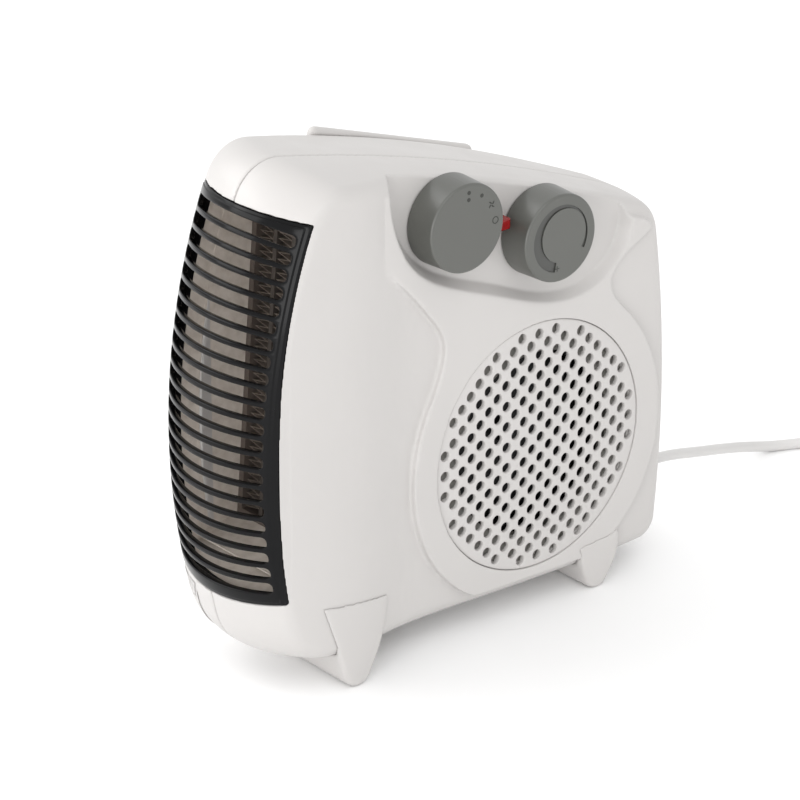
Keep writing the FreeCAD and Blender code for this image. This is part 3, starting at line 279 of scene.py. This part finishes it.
def with_modifiers(mesh, *settings):
    """The mesh after the given modifiers, each as (type, {property: value})."""
    holder = bpy.data.objects.new("holder", mesh)
    scene.collection.objects.link(holder)
    for kind, values in settings:
        modifier = holder.modifiers.new(kind.lower(), kind)
        for key, value in values.items():
            setattr(modifier, key, value)
    evaluated = holder.evaluated_get(bpy.context.evaluated_depsgraph_get())
    result = bpy.data.meshes.new_from_object(evaluated)
    bpy.data.objects.remove(holder)
    return result


def points_of(mesh):
    """The mesh's vertices as an array with a row for each."""
    points = np.empty(len(mesh.vertices) * 3)
    mesh.vertices.foreach_get("co", points)
    return points.reshape(-1, 3)


def relax(mesh, weights, passes):
    """Laplacian smoothing with a weight from 0 to 1 at each vertex."""
    points = points_of(mesh)
    edges = np.empty(len(mesh.edges) * 2, np.int64)
    mesh.edges.foreach_get("vertices", edges)
    start, end = edges.reshape(-1, 2).T
    count = len(points)
    degree = np.maximum(np.bincount(start, minlength=count) + np.bincount(end, minlength=count), 1)
    for _ in range(passes):
        sums = [np.bincount(start, points[end, k], count) + np.bincount(end, points[start, k], count)
                for k in range(3)]
        total = np.stack(sums, axis=1)
        points += 0.5 * weights[:, None] * (total / degree[:, None] - points)
    mesh.vertices.foreach_set("co", points.ravel())
    mesh.update()


def softened(node_name, voxel, passes, zones=(), keep=None):
    """A CAD node's mesh with moulded edges: remeshed evenly, then smoothed, more so in the given zones."""
    source = nodes[node_name].data.copy()
    work = bmesh.new()
    work.from_mesh(source)
    bmesh.ops.remove_doubles(work, verts=work.verts, dist=0.000005)
    work.to_mesh(source)
    work.free()
    mesh = with_modifiers(source, ("REMESH", {"mode": "VOXEL", "voxel_size": voxel}))
    relax(mesh, np.ones(len(mesh.vertices)), passes)
    for weight, zone_passes in zones:
        relax(mesh, weight(points_of(mesh)), zone_passes)
    if keep:
        mesh = with_modifiers(mesh, ("DECIMATE", {"ratio": keep}))
    mesh.name = node_name + "_soft"
    return mesh


def curve_through(points, steps=12):
    """Catmull-Rom curve through the points, as an array."""
    controls = np.array([points[0], *points, points[-1]], float)
    out = []
    for a, b, c, d in zip(controls, controls[1:], controls[2:], controls[3:]):
        for t in np.linspace(0, 1, steps, endpoint=False):
            out.append(0.5 * (2 * b + (c - a) * t + (2 * a - 5 * b + 4 * c - d) * t * t
                              + (3 * b - a - 3 * c + d) * t ** 3))
    out.append(controls[-1])
    return np.array(out)


def near_curve(curve, full, reach, lowest_x):
    """Weight that is 1 within `full` of a (Y, Z) curve and 0 beyond `reach`, on the control side only."""
    def weight(points):
        distance = np.full(len(points), 1.0)
        chosen = np.nonzero(points[:, 0] > lowest_x)[0]
        for chunk in np.array_split(chosen, max(1, len(chosen) // 20000)):
            gap = points[chunk, None, 1:] - curve[None]
            distance[chunk] = np.sqrt((gap ** 2).sum(2).min(1))
        return np.clip((reach - distance) / (reach - full), 0, 1)
    return weight


# ---------------------------------------------------------------- shells and feet
# Edge of the raised pad round the inlet and up to the knobs: two arcs about the inlet, with their limits in
# degrees, and a curve on from each. Then the left, lower and right edge of the knobs' recess. (Y, Z) in mm.
PAD_RADIUS = 74.0
PAD_ARCS = ((150.0, 226.0), (352.0, 398.0))
NECK_LEFT = ((-15.0, 133.0), (-13.2, 148.0), (-21.6, 161.5), (-31.0, 172.7), (-46.0, 188.0), (-62.0, 204.0))
NECK_RIGHT = ((91.5, 138.5), (85.5, 150.0), (90.5, 159.0), (98.7, 164.5), (107.0, 169.0), (120.0, 175.0))
RECESS_OUTLINE = ((-45, 236), (-41.5, 205), (-33, 189), (-14, 174), (18, 160), (50, 149), (77, 150.5),
                  (93.5, 163), (98.5, 179), (95.5, 190))


def pad_curve():
    """Edge of the raised pad in (Y, Z), left out where it runs close to the body's lower edge."""
    centre_y, centre_z = INLET.y / MM, INLET.z / MM
    left_arc, right_arc = [[(centre_y + PAD_RADIUS * math.cos(a), centre_z + PAD_RADIUS * math.sin(a))
                            for a in np.radians(np.linspace(*limits, 24))] for limits in PAD_ARCS]
    left = curve_through((left_arc[0],) + NECK_LEFT)
    right = curve_through((right_arc[-1],) + NECK_RIGHT)
    return np.vstack([left_arc, left, right_arc, right]) * MM


def build_shells():
    """Moulded copies of the shells, feet, rail and inlet grille."""
    recess = curve_through(RECESS_OUTLINE) * MM
    zones = [(near_curve(pad_curve(), 2.5 * MM, 5.5 * MM, 30 * MM), 14),
             (near_curve(recess, 2.5 * MM, 5.0 * MM, 26 * MM), 8)]
    # (CAD node, slot, voxel in mm, smoothing passes, zones smoothed more, share of the faces kept)
    pieces = (("control_side_shell", "shell_white", 0.55, 1, zones, 0.22),
              ("back_shell", "shell_white", 1.0, 1, (), 0.4),
              ("front_foot", "shell_white", 0.7, 12, (), None),
              ("rear_foot", "shell_white", 0.7, 12, (), None),
              ("side_feet", "shell_white", 0.7, 14, (), None),
              ("top_rail", "shell_white", 0.7, 10, (), None),
              ("inlet_grille", "inlet_white", 0.45, 2, (), 0.5))
    for name, slot, voxel, passes, more, keep in pieces:
        mesh = softened(name, voxel * MM, passes, more, keep)
        add_piece(name + "_moulded", mesh, slot, "housing", [name])


# ---------------------------------------------------------------- outlet grille
# The front is a barrel: an arc about FRONT_CENTRE in (Y, Z), crowned across by PLAN_RADIUS. Millimetres.
FRONT_CENTRE = (183.0, 112.0)
FRONT_RADIUS = 310.3
PLAN_RADIUS = 60.0
GRILLE_SLOTS = 22
SLOT_FIRST = math.radians(19.93)
SLOT_STEP = math.radians(1.451)
SLOT_HEIGHT = 5.5
SLOT_HALF = 33.6
SLOT_CORNER = 2.2
SLOT_FLAT = SLOT_HALF - SLOT_CORNER
FLAT_STEPS = 26
BAR_ANGLE = SLOT_STEP - SLOT_HEIGHT / FRONT_RADIUS
HALF_WIDTH = 37.0
LIP = 1.9
LIP_DROP = 0.6
FACE_DEPTH = 2.9
FLANGE_WIDTH = 2.2
FLANGE_DEPTH = 7.5
# The planes that cut the front's top and bottom ends: Y and Z of a point, and the slope.
TOP_PLANE = (-91.3, 223.9, -0.20)
BOTTOM_PLANE = (-108.1, 51.7, 0.25)
MOUTH_GAP = 0.25
MOUTH_WALL = 0.4
MOUTH_OVERLAP = 0.6
MOUTH_DEPTH = 26.0


def front_radius(u):
    """Radius of the front curve at u across from the parting plane."""
    return FRONT_RADIUS - (PLAN_RADIUS - math.sqrt(PLAN_RADIUS ** 2 - u * u))


def on_front(u, angle, depth):
    """Point behind the front face by the depth, at u across and an angle above the horizontal."""
    rho = front_radius(u) - depth
    return Vector((PARTING_X / MM + u, FRONT_CENTRE[0] - rho * math.cos(angle),
                   FRONT_CENTRE[1] + rho * math.sin(angle))) * MM


def edge_angle(u, plane):
    """Angle at which the front curve meets the sloping cut plane at u."""
    y0, z0, slope = plane
    rho = front_radius(u)
    height = z0 - FRONT_CENTRE[1] + slope * (FRONT_CENTRE[0] - y0)
    return math.asin(height / (rho * math.hypot(1, slope))) - math.atan(slope)


def flat_points(sign):
    """Places across a slot's flat edge between its corners, from the side that the sign gives."""
    return [sign * SLOT_FLAT * (1 - 2 * k / FLAT_STEPS) for k in range(1, FLAT_STEPS)]


def across_points(half):
    """Places across the grille from +half to -half, in step with the slots' flat edges."""
    shoulder = (half + SLOT_FLAT) / 2
    return [half, shoulder, SLOT_FLAT] + flat_points(1) + [-SLOT_FLAT, -shoulder, -half]


def slot_ring(grow):
    """Rounded slot outline as (u, v), counter-clockwise from the middle of the right side."""
    radius = SLOT_CORNER + grow
    half, low, high = SLOT_HALF + grow, -grow, SLOT_HEIGHT + grow
    ring = [(half, SLOT_HEIGHT / 2)]
    for cu, cv, start in ((half - radius, high - radius, 0), (-half + radius, high - radius, 90),
                          (-half + radius, low + radius, 180), (half - radius, low + radius, 270)):
        ring += [(cu + radius * math.cos(a), cv + radius * math.sin(a))
                 for a in np.radians(start + np.linspace(0, 90, 5))]
        if start in (0, 180):
            sign = 1 if start == 0 else -1
            ring += [(u, cv + sign * radius) for u in flat_points(sign)]
        elif start == 90:
            ring.append((-half, SLOT_HEIGHT / 2))
    return ring


def cell_ring(half, low, high):
    """Rectangle round a slot with one point for each point of slot_ring, as (u, angle)."""
    middle = (low + high) / 2
    quarter = (high - middle) * 0.5

    def corner(side, end):
        """From the middle of a side round one corner: side is 1 or -1 for u, end for the angle."""
        limit = high if end > 0 else low
        return [(side * half, middle + end * quarter), (side * half, middle + end * quarter * 1.5),
                (side * half, limit), (side * (half + SLOT_FLAT) / 2, limit), (side * SLOT_FLAT, limit)]

    ring = [(half, middle)] + corner(1, 1)
    ring += [(u, high) for u in flat_points(1)]
    ring += corner(-1, 1)[::-1] + [(-half, middle)] + corner(-1, -1)
    ring += [(u, low) for u in flat_points(-1)]
    ring += corner(1, -1)[::-1]
    return ring


def build_outlet_grille():
    """The grille's face with its slots, each in a cell of its own, and the rim and flange round them."""
    points, faces = [], []

    def add_ring(ring):
        first = len(points)
        points.extend(ring)
        return list(range(first, len(points)))

    def bridge(a, b):
        for k in range(len(a)):
            j = (k + 1) % len(a)
            faces.append((a[k], a[j], b[j], b[k]))

    def end_edge(u, plane, inset):
        """Angle at u of the line that runs inside the end plane by the inset."""
        sign = 1 if plane is TOP_PLANE else -1
        return edge_angle(u, plane) - sign * inset / front_radius(u)

    half_front, half_back = HALF_WIDTH - LIP, HALF_WIDTH - FLANGE_WIDTH
    # (growth of the slot outline, depth) from the front face round the moulded lip to the back
    section = ((0.55, 0.0), (0.34, 0.05), (0.16, 0.16), (0.05, 0.34), (0.0, 0.55), (0.0, 2.5),
               (0.35, FACE_DEPTH))
    side_angles = []
    for k in range(GRILLE_SLOTS):
        low_edge = SLOT_FIRST - SLOT_STEP * k
        low, high = low_edge - BAR_ANGLE / 2, low_edge + SLOT_STEP - BAR_ANGLE / 2
        outer = cell_ring(half_front, low, high)
        side_angles += [angle for u, angle in outer if u == half_front]
        rings = [add_ring([on_front(u, angle, 0.0) for u, angle in outer])]
        for grow, depth in section:
            rings.append(add_ring([on_front(u, low_edge + v / front_radius(u), depth)
                                   for u, v in slot_ring(grow)]))
        inner = cell_ring(half_back, low, high)
        rings.append(add_ring([on_front(u, angle, FACE_DEPTH) for u, angle in inner]))
        for a, b in zip(rings, rings[1:]):
            bridge(a, b)
    angles = sorted(set(round(a, 9) for a in side_angles))

    def border(inset):
        """Ring of the grille's outline, drawn in by the inset."""
        half = HALF_WIDTH - inset
        us = across_points(half)
        ring = [(half, a) for a in angles]
        ring += [(u, end_edge(u, TOP_PLANE, inset)) for u in us]
        ring += [(-half, a) for a in reversed(angles)]
        ring += [(u, end_edge(u, BOTTOM_PLANE, inset)) for u in reversed(us)]
        return ring

    def strip(depth, half, inset, cell_edge, plane):
        """Faces between the last cell and the rim, at the top or the bottom."""
        us = across_points(half)
        a = add_ring([on_front(u, cell_edge, depth) for u in us])
        b = add_ring([on_front(u, end_edge(u, plane, inset), depth) for u in us])
        for k in range(len(us) - 1):
            faces.append((a[k], a[k + 1], b[k + 1], b[k]))

    top_cell = SLOT_FIRST + SLOT_STEP - BAR_ANGLE / 2
    bottom_cell = top_cell - SLOT_STEP * GRILLE_SLOTS
    for depth, half, inset in ((0.0, half_front, LIP), (FACE_DEPTH, half_back, FLANGE_WIDTH)):
        strip(depth, half, inset, top_cell, TOP_PLANE)
        strip(depth, half, inset, bottom_cell, BOTTOM_PLANE)
    # (inset from the outer edge, depth): step down to the outer lip, its rounded edge, the flange and back
    rim = ((LIP, 0.0), (LIP - 0.2, 0.05), (LIP - 0.35, 0.2), (LIP - 0.42, 0.55), (LIP - 0.55, LIP_DROP),
           (0.35, LIP_DROP), (0.1, 0.7), (0.0, 0.95), (0.0, FLANGE_DEPTH), (FLANGE_WIDTH, FLANGE_DEPTH),
           (FLANGE_WIDTH, FACE_DEPTH))
    rings = [add_ring([on_front(u, angle, depth) for u, angle in border(inset)]) for inset, depth in rim]
    for a, b in zip(rings, rings[1:]):
        bridge(a, b)
    mesh = mesh_from("outlet_grille_moulded", points, faces, 0.00003)
    add_piece("outlet_grille_moulded", mesh, "grille_black", "housing", ["outlet_grille"], 50.0)


def build_duct_mouth():
    """Thin mica sleeve that lines the mouth of the duct behind the grille's flange."""
    low, high = edge_angle(0.0, BOTTOM_PLANE), edge_angle(0.0, TOP_PLANE)

    def ring(extra, depth):
        inset = FLANGE_WIDTH + MOUTH_GAP + extra
        half = HALF_WIDTH - inset
        gap = inset / FRONT_RADIUS
        angles = np.linspace(low + gap, high - gap, 40)
        us = np.linspace(half, -half, 14)
        ring = [(half, a) for a in angles[:-1]]
        ring += [(u, edge_angle(u, TOP_PLANE) - gap) for u in us]
        ring += [(-half, a) for a in angles[::-1][1:-1]]
        ring += [(u, edge_angle(u, BOTTOM_PLANE) + gap) for u in us[::-1]][:-1]
        return [on_front(u, angle, depth) for u, angle in ring]

    front = FLANGE_DEPTH - MOUTH_OVERLAP
    loops = [ring(0.0, front), ring(MOUTH_WALL, front), ring(MOUTH_WALL, MOUTH_DEPTH), ring(0.0, MOUTH_DEPTH)]
    count = len(loops[0])
    faces = [(i * count + k, i * count + (k + 1) % count, j * count + (k + 1) % count, j * count + k)
             for i, j in ((0, 1), (1, 2), (2, 3), (3, 0)) for k in range(count)]
    points = [point for loop in loops for point in loop]
    add_piece("duct_mouth", mesh_from("duct_mouth", points, faces, 0.000001), "mica", "housing")


# ---------------------------------------------------------------- mains lead
# Millimetres. The lead leaves the strain relief, falls to the floor and runs to the coil of spare lead;
# PLUG_ROUTE goes on from the coil to the plug.
CORD_RADIUS = 2.6
FLOOR_CORD_Z = 2.7
ROUTE = [(-4.0, 113.0, 31.0), (-4.0, 152.0, 31.0), (-16.0, 191.0, 19.0), (-25.0, 224.0, 8.6),
         (-24.5, 248.0, 2.7), (-12.0, 270.0, 2.7), (8.0, 274.5, 2.7), (26.0, 285.0, 2.7),
         (33.0, 304.0, 2.7)]
PLUG_ROUTE = [(-33.0, 308.0, 2.7), (-34.0, 325.0, 2.7), (-27.0, 343.0, 3.4), (-10.0, 354.0, 9.0),
              (8.0, 358.5, 10.5)]

# The coil: the radii of its lanes, and heights of its layers. Its first turn starts beside the route's end
# at ENTRY_ANGLE, and the layers are joined at the left and right sides.
COIL_CENTRE = (0.0, 308.0)
LANES = (22.1, 27.6, 33.0)
BETWEEN_LANES = 30.35
LAYERS = (2.7, 8.1, 13.5, 18.9)
LAYER_RISE = 5.4
ENTRY_RADIUS = 33.2
ENTRY_ANGLE, LEFT_ANGLE, RIGHT_ANGLE = -7.0, 173.0, 353.0
COIL_STEP = 12.0
CLIMB_ANGLE = 60.0
DROP_STEPS = 14
DROP_START, DROP_SPAN = 0.28, 0.66
DROP_SWING = 1.6


def ease(t):
    """From 0 to 1 with level ends."""
    return 3 * t ** 2 - 2 * t ** 3


def coil_spot(degrees, radius, z):
    """Point of the coil at an angle and a radius about its middle."""
    angle = math.radians(degrees)
    return COIL_CENTRE[0] + radius * math.cos(angle), COIL_CENTRE[1] + radius * math.sin(angle), z


def coil_layer(turns, start, start_radius, end_radius, height, climb=0.0):
    """One layer's spiral from the start angle; it climbs by `climb` near its end."""
    total = abs(turns) * 360.0
    out = []
    for k in range(int(total / COIL_STEP) + 1):
        gone = min(k * COIL_STEP, total)
        rise = max(0.0, (gone - total + CLIMB_ANGLE) / CLIMB_ANGLE)
        out.append(coil_spot(start + math.copysign(gone, turns),
                             start_radius + (end_radius - start_radius) * gone / total,
                             height + climb * ease(rise)))
    return out


def coil_reverse(radius):
    """Two half turns of half the radius that cross the middle and rise a layer, so the winding turns back."""
    out = []
    for side, turn in ((LEFT_ANGLE, 1.0), (RIGHT_ANGLE, -1.0)):
        centre_x, centre_y, base = coil_spot(side, radius / 2, LAYERS[2])
        for k in range(1, 7):
            angle = math.radians(LEFT_ANGLE + turn * 30.0 * k)
            gone = (k if turn > 0 else k + 6) / 12.0
            out.append((centre_x + radius / 2 * math.cos(angle), centre_y + radius / 2 * math.sin(angle),
                        base + LAYER_RISE * ease(gone)))
    return out


def coil_points():
    """The spare lead: three layers wound one way, a reverse through the middle, one layer wound back."""
    inner, middle, outer = LANES
    points = coil_layer(0.5, ENTRY_ANGLE, ENTRY_RADIUS, middle, LAYERS[0])
    points += coil_layer(1.0, LEFT_ANGLE, middle, inner, LAYERS[0], LAYER_RISE)[1:]
    points += coil_layer(1.5, LEFT_ANGLE, inner, BETWEEN_LANES, LAYERS[1], LAYER_RISE)[1:]
    points += coil_layer(1.5, RIGHT_ANGLE, BETWEEN_LANES, inner, LAYERS[2])[1:]
    points += coil_reverse(inner)
    points += coil_layer(-2.0, RIGHT_ANGLE, inner, outer, LAYERS[3])[1:]
    for k in range(1, DROP_STEPS + 1):
        gone = k * COIL_STEP / LEFT_ANGLE
        fall = min(1.0, max(0.0, (gone - DROP_START) / DROP_SPAN))
        radius = outer + DROP_SWING * math.sin(math.pi * gone) ** 2
        points.append(coil_spot(RIGHT_ANGLE - k * COIL_STEP, radius,
                                LAYERS[3] - (LAYERS[3] - FLOOR_CORD_Z) * ease(fall)))
    return points


def tube_along(name, points, radius, slot, replaced):
    """A round lead of fixed radius along the points."""
    data = bpy.data.curves.new(name, "CURVE")
    data.dimensions = "3D"
    data.resolution_u = 4
    data.bevel_depth = radius
    data.bevel_resolution = 5
    data.use_fill_caps = True
    spline = data.splines.new("NURBS")
    spline.points.add(len(points) - 1)
    for point, place in zip(spline.points, points):
        point.co = (*[v * MM for v in place], 1.0)
    spline.order_u = 3
    spline.use_endpoint_u = True
    obj = bpy.data.objects.new(name, data)
    scene.collection.objects.link(obj)
    data.materials.append(MATERIALS[slot])
    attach(obj, "housing")
    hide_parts(*replaced)
    return obj


def dense(points, steps=5):
    """The same bends with more control points, so that a low-order curve passes close to them."""
    return [tuple(p) for p in curve_through(points, steps)]


def build_lead():
    """The whole lead as one curve, with its strain relief, tie and plug."""
    points = dense(ROUTE)[:-1] + coil_points() + dense(PLUG_ROUTE)[1:]
    lead = tube_along("mains_lead", points, CORD_RADIUS * MM, "cord_white",
                      ["power_cord", "cord_coil", "plug_lead"])
    for name, slot, voxel, passes in (("plug_body", "plug_white", 0.6, 5), ("coil_tie", "tie_black", 0.3, 2),
                                      ("strain_relief", "cord_white", 0.35, 3)):
        mesh = softened(name, voxel * MM, passes, (), 0.5)
        add_piece(name + "_moulded", mesh, slot, "housing", [name])


# ---------------------------------------------------------------- knob markings
# The prints' bottom and top in metres, then sizes on the knobs' faces in millimetres and degrees from +Y.
MARK_SUNK, MARK_PROUD = 0.03 * MM, 0.07 * MM
MARK_REACH = 15.6
OFF_RADIUS, OFF_WIDTH = 1.75, 0.45
DOT_RADIUS = 0.95
BLADE_ANGLES = (20, 110, 200, 290)
BLADE_LENGTH, BLADE_WIDTH = 1.9, 0.372
PLUS_ARM, PLUS_HALF, PLUS_HUB = 1.3, 0.22, 0.3


def flat_mark(name, loops, centre, knob_body):
    """Thin printed mark on a knob's face from closed (Y, Z) loops in mm about the knob's axis."""
    points, faces = [], []
    for loop in loops:
        first, count = len(points), len(loop)
        for x in (KNOB_FACE - MARK_SUNK, KNOB_FACE + MARK_PROUD):
            points += [(x, centre.y + y * MM, centre.z + z * MM) for y, z in loop]
        faces += [(first + k, first + (k + 1) % count, first + count + (k + 1) % count, first + count + k)
                  for k in range(count)]
        faces += [tuple(first + k for k in range(count)), tuple(first + count + k for k in range(count))]
    add_piece(name, mesh_from(name, points, faces, 0.0000005), "knob_mark", knob_body)


def spot_at(angle, radius):
    """(Y, Z) about the knob's axis."""
    return radius * math.cos(math.radians(angle)), radius * math.sin(math.radians(angle))


def ring_loops(y, z, radius, width, pieces=24):
    """A ring as short closed quads, so that each loop stays simple."""
    def spot(r, k):
        a = 2 * math.pi * k / pieces
        return (y + r * math.cos(a), z + r * math.sin(a))
    return [[spot(radius - width, k), spot(radius, k), spot(radius, k + 0.98), spot(radius - width, k + 0.98)]
            for k in range(pieces)]


def dot_loop(y, z):
    """A small disc."""
    return [(y + DOT_RADIUS * math.cos(a), z + DOT_RADIUS * math.sin(a))
            for a in np.linspace(0, 2 * math.pi, 20, False)]


def bar_loop(y, z, half_y, low, high):
    """A small upright rectangle about y, from z + low to z + high."""
    return [(y - half_y, z + low), (y + half_y, z + low), (y + half_y, z + high), (y - half_y, z + high)]


def blade_loop(y, z, angle):
    """One curved blade of the small fan symbol: up one edge, and back down the other."""
    loop = []
    for side, steps in ((1, range(7)), (-1, range(5, 0, -1))):
        for k in steps:
            t = k / 6.0
            a = math.radians(angle) + 0.5 * t
            r = 0.2 + BLADE_LENGTH * t
            offset = side * BLADE_WIDTH * math.sin(math.pi * (0.12 + 0.8 * t))
            loop.append((y + r * math.cos(a) - offset * math.sin(a),
                         z + r * math.sin(a) + offset * math.cos(a)))
    return loop


def build_marks():
    """The switch's four symbols, and the plus sign at the thermostat's warm end in three bars."""
    y, z = spot_at(1.0, MARK_REACH)
    flat_mark("switch_mark_off", ring_loops(y, z, OFF_RADIUS, OFF_WIDTH), SWITCH, "switch")
    y, z = spot_at(31.0, MARK_REACH)
    flat_mark("switch_mark_fan", [blade_loop(y, z, a) for a in BLADE_ANGLES], SWITCH, "switch")
    flat_mark("switch_mark_low", [dot_loop(*spot_at(60.0, MARK_REACH))], SWITCH, "switch")
    dots = [dot_loop(*spot_at(88.0, radius)) for radius in (16.4, 13.2)]
    flat_mark("switch_mark_high", dots, SWITCH, "switch")
    y, z = spot_at(-98.0, 14.0)
    level = bar_loop(y, z, PLUS_ARM, -PLUS_HALF, PLUS_HALF)
    flat_mark("thermostat_mark_hot", [level], THERMOSTAT, "thermostat")
    arms = [bar_loop(y, z, PLUS_HALF, PLUS_HUB, PLUS_ARM), bar_loop(y, z, PLUS_HALF, -PLUS_ARM, -PLUS_HUB)]
    flat_mark("thermostat_mark_plus", arms, THERMOSTAT, "thermostat")


# ---------------------------------------------------------------- stage
FLOOR_HALF = 6.0
LENS, SENSOR = 202.5, 36.0
CAMERA_PLACE = (1.42787, -1.17237, 0.91428)
AZIMUTH, ELEVATION = math.radians(50.829), math.radians(23.671)


def area_light(name, place, target, size, power):
    """A white rectangular light in watts at a place, turned to the target."""
    data = bpy.data.lights.new(name, "AREA")
    data.shape = "RECTANGLE"
    data.size, data.size_y = size
    data.energy = power
    light = bpy.data.objects.new(name, data)
    light.location = place
    light.rotation_euler = (Vector(target) - Vector(place)).to_track_quat("-Z", "Y").to_euler()
    scene.collection.objects.link(light)


def build_stage():
    """A pale floor, an even white studio and four soft lights."""
    mesh = bpy.data.meshes.new("floor")
    corners = [(x * FLOOR_HALF, y * FLOOR_HALF, 0) for x, y in ((-1, -1), (1, -1), (1, 1), (-1, 1))]
    mesh.from_pydata(corners, [], [(0, 1, 2, 3)])
    floor = bpy.data.objects.new("floor", mesh)
    scene.collection.objects.link(floor)
    material, tree, shader = new_material("floor_pale")
    tree.links.new(ramp(tree, noise(tree, 3.0), [(0.3, (0.95, 0.95, 0.95)), (0.7, (0.96, 0.96, 0.96))]),
                   shader.inputs["Base Color"])
    shader.inputs["Roughness"].default_value = 0.6
    mesh.materials.append(material)
    world = bpy.data.worlds.new("studio")
    world.use_nodes = True
    background = world.node_tree.nodes["Background"]
    background.inputs["Color"].default_value = (1.0, 1.0, 1.0, 1.0)
    background.inputs["Strength"].default_value = 1.0
    scene.world = world
    area_light("key", (1.3, -0.4, 1.5), (0.0, 0.0, 0.1), (1.2, 1.2), 6.5)
    area_light("front_fill", (-0.9, -1.5, 0.7), (0.0, 0.0, 0.12), (1.0, 1.0), 8.0)
    area_light("low_fill", (0.9, -1.5, 0.45), (0.0, -0.1, 0.12), (0.8, 0.8), 8.0)
    area_light("back_sheen", (-1.4, -0.78, 1.25), (0.0, 0.0, 0.2), (1.6, 1.2), 11.0)
    scene.view_settings.view_transform = "Standard"


def build_camera():
    """A long lens from the front and the control side, a little above."""
    data = bpy.data.cameras.new("camera")
    data.lens = LENS
    data.sensor_width = SENSOR
    level = math.cos(ELEVATION)
    back = Vector((math.sin(AZIMUTH) * level, -math.cos(AZIMUTH) * level, math.sin(ELEVATION)))
    camera = bpy.data.objects.new("camera", data)
    camera.location = CAMERA_PLACE
    camera.rotation_euler = back.to_track_quat("Z", "Y").to_euler()
    scene.collection.objects.link(camera)
    scene.camera = camera


build_shells()
build_outlet_grille()
build_duct_mouth()
build_marks()
build_lead()
build_stage()
build_camera()
